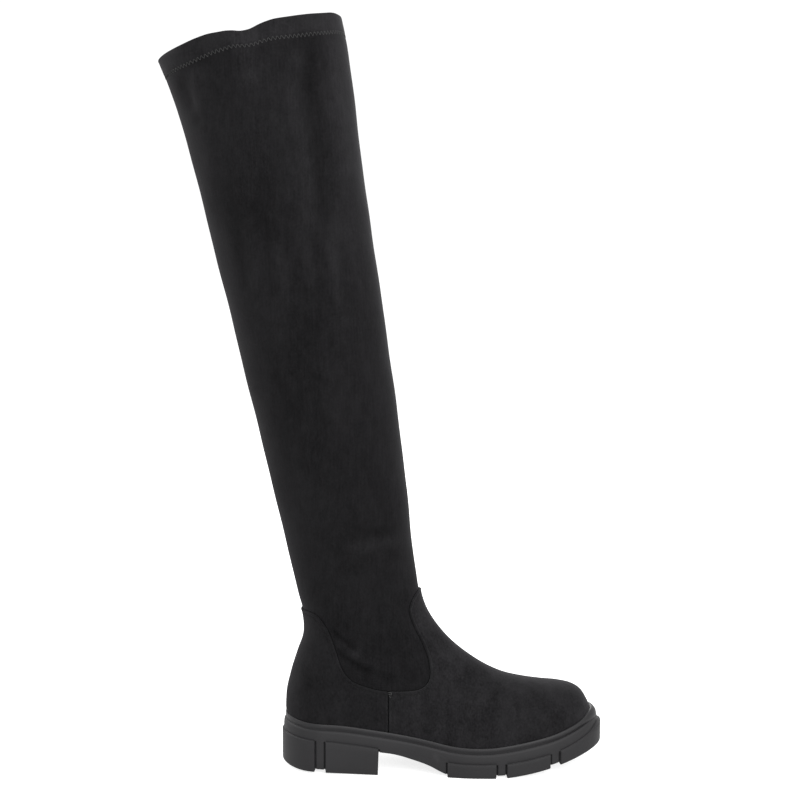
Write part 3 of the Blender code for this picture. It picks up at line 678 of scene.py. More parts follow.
# Strokes of the bar tack from the top of the seam: x and z of start and end
TACK_STROKES = (
    (-0.5, -0.9, 2.5, -0.5),
    (2.5, -0.6, 2.8, -2.5),
    (0.0, -2.2, 2.7, -2.6),
    (0.9, -3.7, 2.2, -4.9),
)
TACK_LIFT = 1.7
TACK_RADIUS = 0.24
TACK_BOW = 0.2
# Width from the edge and height of the dark strip of painted shadow along the overlay edges
SHADOW_STRIP_SHAPE = ((-0.5, 0.05), (0.2, 0.12), (0.45, 0.13), (0.65, 0.10), (0.85, -0.15))
SHADOW_STRIP_NUDGE = 1e-3


def to_section(points):
    """Section row and share along it of side-view points, and whether there is one."""
    front = np.stack([at_row(SEARCH_ROWS, SECTION_X), at_row(SEARCH_ROWS, SECTION_Z)], axis=1)
    base = np.stack([at_row(SEARCH_ROWS, BASE_X), at_row(SEARCH_ROWS, BASE_Z)], axis=1)
    line = base - front
    away = points[:, None] - front[None]
    side = line[None, :, 0] * away[..., 1] - line[None, :, 1] * away[..., 0]
    along = (away * line[None]).sum(axis=2) / (line ** 2).sum(axis=1)[None]
    crossing = (side[:, :-1] * side[:, 1:] <= 0.0) & (np.abs(along[:, :-1] - 0.5) < SEARCH_REACH)
    found = np.argmax(crossing, axis=1)
    pick = np.arange(len(points))
    part = side[pick, found] / (side[pick, found] - side[pick, found + 1] + TINY)
    row = SEARCH_ROWS[found] + part * (SEARCH_ROWS[1] - SEARCH_ROWS[0])
    share = along[pick, found] + part * (along[pick, found + 1] - along[pick, found])
    return row, share, crossing.any(axis=1)


def throat_curve():
    """Throat line in fine steps."""
    known = np.arange(len(THROAT), dtype=float)
    fine = np.linspace(0.0, known[-1], THROAT_STEPS * (len(THROAT) - 1) + 1)
    return np.stack([smooth_curve(fine, known, THROAT[:, k]) for k in range(2)], axis=1)


def trimmed(row, share):
    """Part of a path between the ridge and the base line, ending exactly on them."""
    inside = (share >= 0.0) & (share <= 1.0)
    first, last = np.flatnonzero(inside)[[0, -1]]
    return row[first:last + 1], np.clip(share[first:last + 1], 0.0, 1.0)


def overlay_edges():
    """Edges of quarter and vamp from the foot of the seam: section rows and turns, outer side as positive."""
    throat = throat_curve()
    row, share, there = to_section(throat)
    throat, row, share = throat[there], row[there], share[there]
    low = throat[:, 1] < THROAT_LOW
    edges = {}
    for name, sign in (("quarter", -1.0), ("vamp", 1.0)):
        seam_x = SEAM_X + sign * SEAM_HALF_GAP
        mine = sign * (throat[:, 0] - seam_x) >= 0.0
        part_row, part_share = trimmed(row[mine], share[mine])
        if sign < 0.0:
            part_row, part_share = part_row[::-1], part_share[::-1]
        top_z = np.interp(seam_x, throat[low, 0], throat[low, 1])
        seam = np.column_stack([np.full(SEAM_SAMPLES, seam_x), np.linspace(SEAM_FOOT, top_z, SEAM_SAMPLES)])
        seam_row, seam_share, seam_there = to_section(seam)
        seam_row, seam_share = trimmed(seam_row[seam_there], seam_share[seam_there])
        seam_share[0] = 1.0
        part_share[-1] = 1.0 if sign < 0.0 else 0.0
        all_row = np.concatenate([seam_row, part_row])
        all_turn = turn_at(np.concatenate([seam_share, part_share]))
        run = path_length(last_point(all_row, -all_turn))
        at = np.linspace(0.0, run[-1], int(run[-1] / EDGE_STEP) + 1)
        edges[name] = (np.interp(at, run, all_row), np.interp(at, run, all_turn))
    return edges


def from_edge(row_from, turn_from, row_to, turn_to, levels):
    """Rows and turns at even shares of the way from an edge, with close levels by the edge."""
    def on_the_way(share):
        return [start[:, None] + (end - start)[:, None] * share
                for start, end in ((row_from, row_to), (turn_from, turn_to))]

    share = np.linspace(0.0, 1.0, PATH_SAMPLES)
    row, turn = on_the_way(share[None, :])
    run = path_length(last_point(row, -turn))
    total = run[:, -1:]
    close = np.array(EDGE_LEVELS)[None, :] * np.minimum(total / EDGE_ZONE, 1.0)
    rest = np.linspace(0.0, 1.0, levels + 1)[None, 1:]
    wide = close[:, -1:] + (total - close[:, -1:]) * rest
    want = np.concatenate([close, wide], axis=1)
    return on_the_way(np.stack([np.interp(w, r, share) for w, r in zip(want, run)]))


def overlay_lift(distance):
    """Rolled edge, flat seat for the stitches and the full thickness further in."""
    lift = -EDGE_SINK + (OVERLAY_LIFT + EDGE_SINK) * quarter_round(distance, EDGE_ROUND)
    roll = EDGE_ROLL * bell(distance, EDGE_ROLL_AT, EDGE_ROLL_WIDTH)
    return lift + roll - STITCH_SINK * bell(distance, STITCH_INSET, STITCH_SINK_WIDTH)


def make_overlay(name, row, turn, edge_row, edge_turn, joined, shared, stitched, material):
    """Both sides of an overlay as one mesh, and its stitch lines.

    Joined marks the lines that both sides share at the shared levels, stitched those with a stitch row.
    """
    sides = [last_point(row, -turn), last_point(row, turn)]
    lines, levels = row.shape
    outer = np.arange(lines * levels).reshape(lines, levels)
    inner = outer + lines * levels
    inner[joined, shared] = outer[joined, shared]
    points = np.concatenate([s.reshape(-1, 3) for s in sides])
    faces = np.concatenate([grid_faces(outer), grid_faces(inner)[:, ::-1]])
    normals = vertex_normals(points, faces)
    if np.mean(normals[outer[lines // 2]][:, 1]) > 0.0:
        faces = faces[:, ::-1]
        normals = -normals
    away = [edge_distance(s, last_point(edge_row, sign * edge_turn)) for s, sign in zip(sides, (-1.0, 1.0))]
    distance = np.concatenate([a.reshape(-1) for a in away])
    points = points + normals * overlay_lift(distance)[:, None]
    floor = sole_height(points[:, 0], "platform_z") + FIT_GAP
    points[:, 2] = np.maximum(points[:, 2], floor)
    make_piece(name + "_skin", points, faces, material, [name])
    rows = []
    for index, gap in ((outer, away[0]), (inner, away[1])):
        held = np.flatnonzero(stitched & (gap.max(axis=1) >= STITCH_INSET))
        spots = index[held, np.argmax(gap[held] >= STITCH_INSET, axis=1)]
        rows.append((points[spots], normals[spots]))
    return rows


def make_painted_edge_shadows(edges, material):
    """Strip of painted shadow on the leg right along the edges of the overlays, on both sides of the boot:
    dark suede where the crevice's shade falls.
    """
    points, faces = [], []
    for name, flip in (("quarter", 1.0), ("vamp", -1.0)):
        row, turn = edges[name]
        for side in (-1.0, 1.0):
            edge = last_point(row, side * turn)
            ahead = unit(np.gradient(edge, axis=0))
            across = (last_point(row, side * (turn + SHADOW_STRIP_NUDGE))
                      - last_point(row, side * (turn - SHADOW_STRIP_NUDGE)))
            up = last_point(row + SHADOW_STRIP_NUDGE, side * turn) - last_point(row - SHADOW_STRIP_NUDGE, side * turn)
            out = np.cross(across, up)
            out *= np.sign(out[:, 1:2] * side)
            out /= np.linalg.norm(out, axis=1, keepdims=True) + TINY
            away = np.cross(ahead, out) * (flip * side)
            folds = fold_lift(edge)[:, None]
            lines = [edge + away * width + out * (height + folds) for width, height in SHADOW_STRIP_SHAPE]
            first = sum(len(p) for p in points)
            strip = grid_faces(first + np.arange(len(lines) * len(edge)).reshape(len(lines), -1))
            points += lines
            faces.append(strip if flip * side > 0.0 else strip[:, ::-1])
    make_piece("painted_edge_shadows", np.concatenate(points), np.concatenate(faces), material)


def make_tack(material):
    """Short bar of light stitches at the top of each seam."""
    strokes = np.array(TACK_STROKES) + np.array([SEAM_X, SEAM_TOP, SEAM_X, SEAM_TOP])
    starts, ends, outs = [], [], []
    for side in (-1.0, 1.0):
        lift = np.array([0.0, side * TACK_LIFT, 0.0])
        for bag, flat in ((starts, strokes[:, :2]), (ends, strokes[:, 2:])):
            row, share, _ = to_section(flat)
            bag.append(last_point(row, side * turn_at(share)) + lift)
        outs.append(np.tile([0.0, side, 0.0], (len(strokes), 1)))
    tubes(np.concatenate(starts), np.concatenate(ends), np.concatenate(outs), TACK_RADIUS, TACK_BOW,
          "seam_tacks", material)


def make_overlays(vamp_suede, quarter_suede, thread, tack_thread, painted_shadow):
    """Vamp and quarter with the strips of painted shadow beside them, their stitches and the tacks."""
    edges = overlay_edges()
    # Strips of painted shadow along the overlay edges
    make_painted_edge_shadows(edges, painted_shadow)
    row, turn = edges["vamp"]
    turn = np.minimum.accumulate(turn)
    grid_row, grid_turn = from_edge(row, turn, np.zeros_like(row), turn, VAMP_LEVELS)
    stitches = make_overlay("vamp", grid_row, grid_turn, row, turn, turn <= RIDGE_TURN, slice(None),
                            np.ones(len(row), dtype=bool), vamp_suede)
    make_tack(tack_thread)
    row, turn = edges["quarter"]
    row = np.maximum.accumulate(row)
    grid_row, grid_turn = from_edge(row, turn, row, np.full_like(turn, math.pi), QUARTER_LEVELS)
    throat = last_point(row, -turn)[:, 0] < SEAM_X - SEAM_HALF_GAP - STITCH_INSET
    stitches += make_overlay("quarter", grid_row, grid_turn, row, turn, row >= HEEL_ROW, slice(-1, None),
                             throat, quarter_suede)
    starts, ends, outs = (np.concatenate(part) for part in zip(*(stitch_row(*line) for line in stitches)))
    tubes(starts, ends, outs, STITCH_RADIUS, STITCH_BOW, "overlay_stitches", thread)


# Lining and footbed
LINING_LIFT = -2.2
LINING_FOLD = (62.0, 72.0)
LINING_FROM_ROW = 0.2
LINING_TOP_ROW = COLLAR_ROW - 0.7
LINING_ROWS = 110
LINING_COLUMNS = 96
FOOTBED_STATIONS = 70
# Inset and share of the thickness up the footbed's edge
FOOTBED_EDGE = ((0.0, 0.0), (0.0, 0.72), (0.25, 0.9), (0.8, 1.0))
FOOTBED_SHARES = 17


def make_lining(material):
    """Inside of the upper, seen down the leg."""
    rows = np.linspace(LINING_FROM_ROW, LINING_TOP_ROW, LINING_ROWS)
    turns = np.linspace(-math.pi, math.pi, LINING_COLUMNS + 1)
    flat = last_point(rows[:, None], turns[None, :]).reshape(-1, 3)
    faces = grid_faces(tube_index(LINING_ROWS, LINING_COLUMNS + 1, rows >= HEEL_ROW))
    lift = LINING_LIFT + fold_lift(flat) * ease(flat[:, 2], *LINING_FOLD)
    points = flat + vertex_normals(flat, faces) * lift[:, None]
    make_piece("leg_lining", points, faces[:, ::-1], material)


def ring_normals(ring):
    """Outward plan normals of a closed ring that runs from heel to toe on the outer side and back."""
    step = unit(np.roll(ring, -1, axis=0) - ring) + unit(ring - np.roll(ring, 1, axis=0))
    return unit(np.stack([step[:, 1], -step[:, 0]], axis=1))


def plan_ring(x, back, front, heel_round, toe_round, margin):
    """Closed plan outline through the given x, outer side first, with shared ends."""
    heel = quarter_round(x - back, heel_round)
    outer = toe_centre(x) - plan_half(x, "outer", front, toe_round, margin) * heel
    inner = toe_centre(x) + plan_half(x, "inner", front, toe_round, margin) * heel
    there = np.stack([x, outer], axis=1)
    back_again = np.stack([x[-2:0:-1], inner[-2:0:-1]], axis=1)
    return np.concatenate([there, back_again])


def cross_strips(points, first, half, around, count):
    """Rows of points across a ring at each column and the faces between them, facing up."""
    share = np.linspace(0.0, 1.0, count)
    extra, rows = [], []
    for i in range(half):
        a, b = first + i, first + (around - i) % around
        if a == b:
            rows.append([a] * count)
            continue
        middle = points[a] + (points[b] - points[a]) * share[1:-1, None]
        start = len(points) + len(extra)
        extra.extend(middle)
        rows.append([a, *range(start, start + count - 2), b])
    return np.array(extra), grid_faces(np.array(rows))[:, ::-1].tolist()


def make_footbed(material):
    """Footbed board with a rounded edge."""
    back = FEATHER_BACK + INSOLE_INSET
    front = FEATHER_FRONT - INSOLE_INSET
    x = back + (front - back) * end_shares(FOOTBED_STATIONS)
    ring = plan_ring(x, back, front, HEEL_ROUND - INSOLE_INSET, TOE_ROUND - INSOLE_INSET, -INSOLE_INSET)
    out = ring_normals(ring)
    around = len(ring)
    levels = []
    for inset, height in FOOTBED_EDGE:
        level = over_platform(ring - out * inset, FIT_GAP)
        level[:, 2] += INSOLE_THICK * height
        levels.append(level)
    points = np.concatenate(levels)
    faces = ring_faces(len(levels), around).tolist()
    top = (len(levels) - 1) * around
    extra, strips = cross_strips(points, top, len(x), around, FOOTBED_SHARES)
    make_piece("footbed", np.concatenate([points, extra]), faces + strips, material,
               ["insole"])


# Sole
SOLE_STATIONS = 300
BLOCK_EDGE = 0.35
BLOCK_NEAR = (-2.0, -1.6, -1.25, -0.95, -0.7, -0.45, -0.25, -0.1, 0.1, 0.25, 0.45, 0.7, 0.95, 1.25, 1.6, 2.0)
GROOVE_DEPTH = 2.0
WAIST_MARGIN = 2.0
LINE_DEPTH = 1.7
LINE_OFFSET = 0.75
LINE_WIDTH = 0.5
TREAD_EDGE = 1.2
TREAD_EDGE_STEPS = 5
GAP_CHAMFER = 1.2
WALL_SHARES = (0.25, 0.5, 0.75, 1.0)
WALL_BELOW_STEP = 0.4
# Step over the lug faces and groove under the band: inset on the blocks and height over the step line
STEP_EDGE = ((0.10, -0.15), (0.35, 0.0))
STEP_GROOVE = ((0.25, 0.12), (0.35, 0.35), (0.20, 0.8), (0.12, 1.2), (0.0, 1.6))
BAND_LOW = STEP_GROOVE[-1][1]
BAND_INSET = 1.2
TIP_INSET = 1.9
TIP_INSET_FROM = 262.0
BAND_DRAFT = 0.5
BAND_EDGE = 2.8
BAND_EDGE_STEPS = 8
# Shares of the band's height and of its draft
BAND_RISE = ((0.35, 0.15), (0.7, 0.35))
# Distance past the band's edge and drop below the platform, under the bead
LEDGE = ((0.35, 0.7), (0.7, 2.4), (4.0, 2.6))
TOP_SHARES = 7
TREAD_SHARES = 81
# Channel along the middle of the tread: where it starts and ends, and how far it reaches across
CHANNEL_DEPTH = 2.0
CHANNEL_START = (12.0, 16.0)
CHANNEL_END = (248.0, 252.0)
CHANNEL_SIDE = (0.09, 0.13)
# Fine slanted grooves beside the channel
FINE_PITCH = 8.0
FINE_DEPTH = 0.7
FINE_WIDTH = 1.1
FINE_SLANT = 16.0
FINE_START = (0.15, 0.19)
FINE_END = (0.44, 0.47)


def sole_ring(x):
    """Outline of the lug faces."""
    return plan_ring(x, 0.0, SOLE_LENGTH, SOLE_HEEL_ROUND, SOLE_TOE_ROUND, SOLE_MARGIN)


def blockness(x):
    """1 on the lug blocks, 0 in the gaps and the waist."""
    total = np.zeros(np.shape(x))
    for start, end in BLOCKS:
        begun = ease(x, start - BLOCK_EDGE, start + BLOCK_EDGE)
        total += begun * (1.0 - ease(x, end - BLOCK_EDGE, end + BLOCK_EDGE))
    return total


def gap_lines(x):
    """Fine dark lines at both sides of each gap."""
    total = np.zeros(np.shape(x))
    for (_, end), (start, _) in zip(BLOCKS, BLOCKS[1:]):
        total += bell(x, end + LINE_OFFSET, LINE_WIDTH) + bell(x, start - LINE_OFFSET, LINE_WIDTH)
    return total


def tread_relief(x, across):
    """Depth of the channel and the fine grooves under the blocks."""
    channel = CHANNEL_DEPTH * ease(x, *CHANNEL_START) * (1.0 - ease(x, *CHANNEL_END))
    aside = np.abs(across - 0.5)
    slant = (x + FINE_SLANT * aside * 2.0) % FINE_PITCH - 0.5 * FINE_PITCH
    fine = FINE_DEPTH * bell(slant, 0.0, FINE_WIDTH) * ease(aside, *FINE_START)
    fine *= 1.0 - ease(aside, *FINE_END)
    return blockness(x) * np.maximum(channel * (1.0 - ease(aside, *CHANNEL_SIDE)), fine)


def sole_stations():
    """Places along the sole, close together at the edges of the blocks."""
    even = SOLE_LENGTH * end_shares(SOLE_STATIONS)
    edges = np.array([v for block in BLOCKS for v in block if 0.0 < v < SOLE_LENGTH])
    near = (edges[:, None] + np.array(BLOCK_NEAR)[None, :]).ravel()
    apart = np.abs(even[:, None] - edges[None, :]).min(axis=1) > max(BLOCK_NEAR)
    return np.sort(np.concatenate([even[apart], near]))


def make_sole(material):
    """Sole unit: rings from the tread up the lugs, step and band to the ledge, closed above and below."""
    x = sole_stations()
    half = len(x)
    order = np.array([*range(half), *range(half - 2, 0, -1)])
    ring = sole_ring(x)
    out = ring_normals(ring)

    def moved_in(inset):
        return ring - out * inset[order][:, None]

    block = blockness(x)
    step = sole_height(x, "step_z")
    tread = tread_height(x)
    waist = smooth_curve(x, WAIST["x"], WAIST["edge_z"])
    in_waist = (x > BLOCKS[1][1] - WAIST_MARGIN) & (x < BLOCKS[2][0] + WAIST_MARGIN)
    recess = np.where(in_waist, waist, tread + GROOVE_DEPTH)
    bottom = tread * block + recess * (1.0 - block)
    face = BAND_INSET * (1.0 - block) + LINE_DEPTH * gap_lines(x)
    band = BAND_INSET + TIP_INSET * ease(x, TIP_INSET_FROM, SOLE_LENGTH)
    lower = TREAD_EDGE + GAP_CHAMFER * (1.0 - block)
    wall_low = bottom + TREAD_EDGE
    wall_top = step - WALL_BELOW_STEP
    levels = [(face + lower * (1.0 - math.sin(a)), bottom + TREAD_EDGE * (1.0 - math.cos(a)))
              for a in np.linspace(0.0, 0.5 * math.pi, TREAD_EDGE_STEPS)]
    levels += [(face, wall_low + (wall_top - wall_low) * share) for share in WALL_SHARES]
    levels += [(face + inset * block, step + height) for inset, height in STEP_EDGE]
    levels += [(band + inset * block, step + height) for inset, height in STEP_GROOVE]
    rings = [np.column_stack([moved_in(inset), height[order]]) for inset, height in levels]

    low = (step + BAND_LOW)[order]
    for share, draft in BAND_RISE:
        level = over_platform(moved_in(band + BAND_DRAFT * draft), -BAND_EDGE)
        level[:, 2] = low + (level[:, 2] - low) * share
        rings.append(level)
    for a in np.linspace(0.0, 0.5 * math.pi, BAND_EDGE_STEPS):
        inset = band + BAND_DRAFT + BAND_EDGE * (1.0 - math.cos(a))
        rings.append(over_platform(moved_in(inset), -BAND_EDGE * (1.0 - math.sin(a))))
    for past, drop in LEDGE:
        rings.append(over_platform(moved_in(band + BAND_DRAFT + BAND_EDGE + past), -drop))

    around = len(order)
    points = np.concatenate(rings)
    faces = ring_faces(len(rings), around).tolist()
    extra, strips = cross_strips(points, (len(rings) - 1) * around, half, around, TOP_SHARES)
    points = np.concatenate([points, extra])
    faces += strips
    under, strips = cross_strips(points, 0, half, around, TREAD_SHARES)
    across = np.tile(np.linspace(0.0, 1.0, TREAD_SHARES)[1:-1], len(under) // (TREAD_SHARES - 2))
    under[:, 2] += tread_relief(under[:, 0], across)
    faces += [f[::-1] for f in strips]
    make_piece("lug_sole", np.concatenate([points, under]), faces, material, ["sole"])


# Welt bead
WELT_INSET = 2.6
WELT_GAP = -0.2
WELT_HEIGHT = 4.6
WELT_STATIONS = 170
WELT_OUTLINE = 400
WELT_STEPS = 24
WELT_PROFILE = table(
    "across height",
    (0.00, -0.30), (0.00, 0.72), (0.08, 0.91), (0.24, 1.03), (0.44, 1.05), (0.62, 0.97), (0.75, 0.83),
    (0.80, 0.67), (0.77, 0.52), (0.68, 0.38), (0.58, 0.24), (0.50, 0.05), (0.46, -0.30),
)
# The same points at the tip of the toe, where the bead hugs the vamp and rounds over into the band
WELT_TOE_PROFILE = table(
    "across height",
    (0.00, -0.30), (0.00, 1.35), (0.05, 1.55), (0.17, 1.49), (0.33, 1.30), (0.48, 1.04), (0.61, 0.73),
    (0.71, 0.43), (0.79, 0.12), (0.84, -0.16), (0.86, -0.40), (0.84, -0.55), (0.65, -0.60),
)
WELT_TOE_FROM = 222.0
WELT_TIP_FROM = 250.0
WELT_TIP_TO = 268.0
WELT_TOE_SHARE = 0.12
# Rows searched for the bead's height at the toe and over the heel
TOE_ROWS = np.linspace(0.0, 2.0, 200)
HEEL_ROWS = np.linspace(HEEL_ROW, HEEL_ROW + 1.0, 200)


def foot_ring(height, offset):
    """Plan ring of the upper's outer face at a height over the feather line, moved out by an offset."""
    first = np.interp(height, at_row(TOE_ROWS, SECTION_Z) - at_row(TOE_ROWS, BASE_Z), TOE_ROWS)
    last = np.interp(height, at_row(HEEL_ROWS, BASE_Z) - BASE_Z[HEEL_ROW], HEEL_ROWS)
    row = first + (last - first) * 0.5 * (1.0 + np.cos(np.linspace(0.0, math.pi, WELT_STATIONS + 1)))
    front_z = at_row(row, SECTION_Z)
    base_z = at_row(row, BASE_Z)
    level = np.where(row <= HEEL_ROW, base_z, BASE_Z[HEEL_ROW]) + height
    turn = turn_at(np.clip((front_z - level) / (front_z - base_z), 0.0, 1.0))
    loop = np.concatenate([last_point(row, -turn), last_point(row, turn)[-2:0:-1]])[:, :2]
    return loop + ring_normals(loop) * offset


def ring_share(ring, tip):
    """Distance run along a ring, 0 to 1 from heel to tip and 1 to 2 back to the heel."""
    closed = np.concatenate([ring, ring[:1]])
    run = path_length(closed)
    return np.where(run <= run[tip], run / run[tip], 1.0 + (run - run[tip]) / (run[-1] - run[tip])), closed


def make_welt(material):
    """Bead round the top of the sole, blended into its toe shape at the tip."""
    inside = foot_ring(WELT_HEIGHT, FIT_GAP + OVERLAY_WALL + WELT_GAP)
    wide = sole_ring(SOLE_LENGTH * end_shares(WELT_OUTLINE))
    wide = wide - ring_normals(wide) * WELT_INSET
    wide_share, wide_closed = ring_share(wide, WELT_OUTLINE - 1)
    share, _ = ring_share(inside, WELT_STATIONS)
    outside = np.column_stack([np.interp(share[:-1], wide_share, wide_closed[:, k]) for k in range(2)])
    known = np.arange(len(WELT_PROFILE["across"]), dtype=float)
    fine = np.linspace(0.0, known[-1], WELT_STEPS)
    at_toe = WELT_TOE_SHARE * ease(inside[:, 0], WELT_TOE_FROM, WELT_TIP_FROM)
    at_toe = at_toe + (1.0 - WELT_TOE_SHARE) * ease(inside[:, 0], WELT_TIP_FROM, WELT_TIP_TO)
    across, height = (smooth_curve(fine, known, WELT_PROFILE[name])[:, None] * (1.0 - at_toe)
                      + smooth_curve(fine, known, WELT_TOE_PROFILE[name])[:, None] * at_toe
                      for name in ("across", "height"))
    rings = [over_platform(inside + (outside - inside) * a[:, None], h * WELT_HEIGHT)
             for a, h in zip(across, height)]
    faces = ring_faces(len(rings), len(inside), closed=True)[:, ::-1]
    make_piece("welt_bead", np.concatenate(rings), faces, material, ["welt"])


# Materials
RUBBER_TONES = (0.0084, 0.0093, 0.0104)
VIOLET_CAST = (1.0, 0.97, 1.04)
SHEEN_TINT = (0.97, 0.95, 1.0, 1.0)
WHITE = (1.0, 1.0, 1.0, 1.0)
# Lighter spots on the rubber: place, reach and gain
RUBBER_LIGHT_SPOTS = (
    ((131.5, -41.0, 17.5), 4.0, 0.45),
    ((133.5, -41.3, 14.5), 3.0, 0.35),
)


class Finish:
    """Node material on one Principled shader, with textures in the boot's own coordinates."""

    def __init__(self, name):
        self.material = bpy.data.materials.new(name)
        self.material.use_nodes = True
        self.tree = self.material.node_tree
        self.shader = self.tree.nodes["Principled BSDF"]
        self.place = self.tree.nodes.new("ShaderNodeTexCoord").outputs["Object"]

    def fill(self, node, inputs):
        """Inputs of a node by name or number, from values or from other nodes' outputs."""
        for name, value in inputs.items():
            socket = node.inputs[name.replace("_", " ") if isinstance(name, str) else name]
            if isinstance(value, bpy.types.NodeSocket):
                self.tree.links.new(value, socket)
            else:
                socket.default_value = value
        return node

    def set(self, **inputs):
        self.fill(self.shader, inputs)

    def node(self, kind, **inputs):
        return self.fill(self.tree.nodes.new("ShaderNode" + kind), inputs)

    def operate(self, kind, operation, inputs):
        """Math node of a kind, with its operation."""
        made = self.tree.nodes.new("ShaderNode" + kind)
        made.operation = operation
        return self.fill(made, inputs)

    def noise(self, size, stretch=(1.0, 1.0, 1.0), lean=0.0, detail=3.0, rough=0.55):
        """Noise with features of a size in millimetres, stretched along the axes."""
        place = self.node("Mapping", Vector=self.place, Rotation=(0.0, math.radians(lean), 0.0),
                          Scale=tuple(1.0 / (size * MM * s) for s in stretch))
        made = self.node("TexNoise", Vector=place.outputs["Vector"], Scale=1.0, Detail=detail,
                         Roughness=rough)
        return made.outputs["Fac"]

    def sum_of(self, *terms):
        """Weighted sum of texture outputs."""
        total = None
        for value, weight in terms:
            part = self.operate("Math", "MULTIPLY", {0: value, 1: weight}).outputs[0]
            total = part if total is None else self.operate("Math", "ADD", {0: total, 1: part}).outputs[0]
        return total

    def ramp(self, value, *stops):
        """Colour ramp through stops of place and colour."""
        made = self.node("ValToRGB", Fac=value)
        ramp = made.color_ramp
        while len(ramp.elements) < len(stops):
            ramp.elements.new(0.5)
        for element, (at, colour) in zip(ramp.elements, stops):
            element.position = at
            element.color = (*colour, 1.0)
        return made.outputs["Color"]

    def scaled(self, colour, factor):
        return self.operate("VectorMath", "SCALE", {0: colour, "Scale": factor}).outputs[0]

    def times_nap_and_painted_shade(self, colour):
        """Colour multiplied by the tone stored on the mesh, which holds painted highlight and shade of the
        folds.
        """
        stored = self.node("Attribute")
        stored.attribute_name = NAP_AND_SHADE_ATTRIBUTE
        return self.scaled(colour, stored.outputs["Fac"])

    def lighter_spot(self, colour, place, reach, gain):
        """Colour made lighter in a soft spot round a place in millimetres."""
        spot = tuple(np.array(place) * MM + SHIFT)
        away = self.operate("VectorMath", "DISTANCE", {0: self.place, 1: spot})
        near = self.node("MapRange", Value=away.outputs["Value"], From_Min=0.0, From_Max=reach * MM,
                         To_Min=1.0 + gain, To_Max=1.0)
        return self.scaled(colour, near.outputs["Result"])

    def bump(self, height, strength, depth):
        made = self.node("Bump", Height=height, Strength=strength, Distance=depth * MM)
        self.set(Normal=made.outputs["Normal"])

    def rough_between(self, value, low, high):
        made = self.node("MapRange", Value=value, To_Min=low, To_Max=high)
        self.set(Roughness=made.outputs["Result"])


def grey(value):
    return (value, value, value)


def tint(value):
    """Near-black with a faint violet cast."""
    return tuple(value * share for share in VIOLET_CAST)


def suede(name, mid, spread, sheen, patch_size, lean=0.0, streak_length=2.0, with_painted_fold_shade=False):
    """Short-napped microsuede: soft patches, mottled pile, fine streaks and a velvety edge; on the leg the
    colour also carries painted highlight and shade of the folds.
    """
    skin = Finish(name)
    patch = skin.noise(patch_size, (1.0, 1.0, 1.7), lean, detail=2.0)
    mottle = skin.noise(8.0, (1.0, 1.0, 1.4), lean, detail=4.0, rough=0.62)
    streak = skin.noise(1.5, (1.0, 1.0, streak_length), lean, detail=2.5, rough=0.6)
    grain = skin.noise(1.5, (1.0, 1.0, 1.3), lean, detail=4.0, rough=0.7)
    fibre = skin.noise(0.28, (1.0, 1.0, 3.0), lean, detail=2.0)
    tone = skin.sum_of((patch, 0.24), (mottle, 0.22), (streak, 0.20), (grain, 0.34))
    colour = skin.ramp(tone, (0.39, tint(mid * (1.0 - spread))), (0.5, tint(mid)),
                       (0.61, tint(mid * (1.0 + spread))))
    # The leg's colour is scaled by its stored tone: painted highlight on fold ridges, painted shade in troughs
    skin.set(Base_Color=skin.times_nap_and_painted_shade(colour) if with_painted_fold_shade else colour)
    skin.rough_between(grain, 0.86, 1.0)
    skin.set(Specular_IOR_Level=0.02, Sheen_Weight=sheen, Sheen_Roughness=0.5, Sheen_Tint=SHEEN_TINT)
    relief = skin.sum_of((fibre, 0.35), (grain, 0.35), (streak, 0.15), (mottle, 0.15))
    skin.bump(relief, strength=0.45, depth=0.4)
    return skin.material


def rubber(name, rough_low, rough_high, grain_size):
    """Matt moulded rubber with a fine grain and faint rubbed patches."""
    skin = Finish(name)
    grain = skin.noise(grain_size, detail=4.0, rough=0.65)
    fine = skin.noise(0.35, detail=2.0)
    patch = skin.noise(22.0, (1.6, 1.0, 0.8))
    tone = skin.sum_of((patch, 0.6), (grain, 0.4))
    colour = skin.ramp(tone, *zip((0.36, 0.5, 0.66), map(tint, RUBBER_TONES)))
    # Lighter spots laid on the rubber's colour
    for place, reach, gain in RUBBER_LIGHT_SPOTS:
        colour = skin.lighter_spot(colour, place, reach, gain)
    skin.set(Base_Color=colour, Specular_IOR_Level=0.16)
    skin.rough_between(patch, rough_low, rough_high)
    skin.bump(skin.sum_of((grain, 0.6), (fine, 0.4)), strength=0.3, depth=0.25)
    return skin.material


def cloth(name, dark, light, size):
    """Plain close cloth with a small crossed weave."""
    skin = Finish(name)
    over = skin.noise(size, (1.0, 1.0, 5.0), detail=2.0)
    under = skin.noise(size, (5.0, 5.0, 1.0), detail=2.0)
    weave = skin.sum_of((over, 0.5), (under, 0.5))
    skin.set(Base_Color=skin.ramp(weave, (0.38, grey(dark)), (0.62, grey(light))))
    skin.rough_between(weave, 0.8, 0.95)
    skin.set(Specular_IOR_Level=0.05, Sheen_Weight=0.02)
    skin.bump(weave, strength=0.4, depth=0.3)
    return skin.material


def thread(name, dark, light):
    """Twisted thread."""
    skin = Finish(name)
    twist = skin.noise(0.35, (1.0, 1.0, 2.0), lean=35.0, detail=2.0)
    skin.set(Base_Color=skin.ramp(twist, (0.35, grey(dark)), (0.65, grey(light))), Specular_IOR_Level=0.05)
    skin.rough_between(twist, 0.6, 0.85)
    skin.bump(twist, strength=0.4, depth=0.15)
    return skin.material


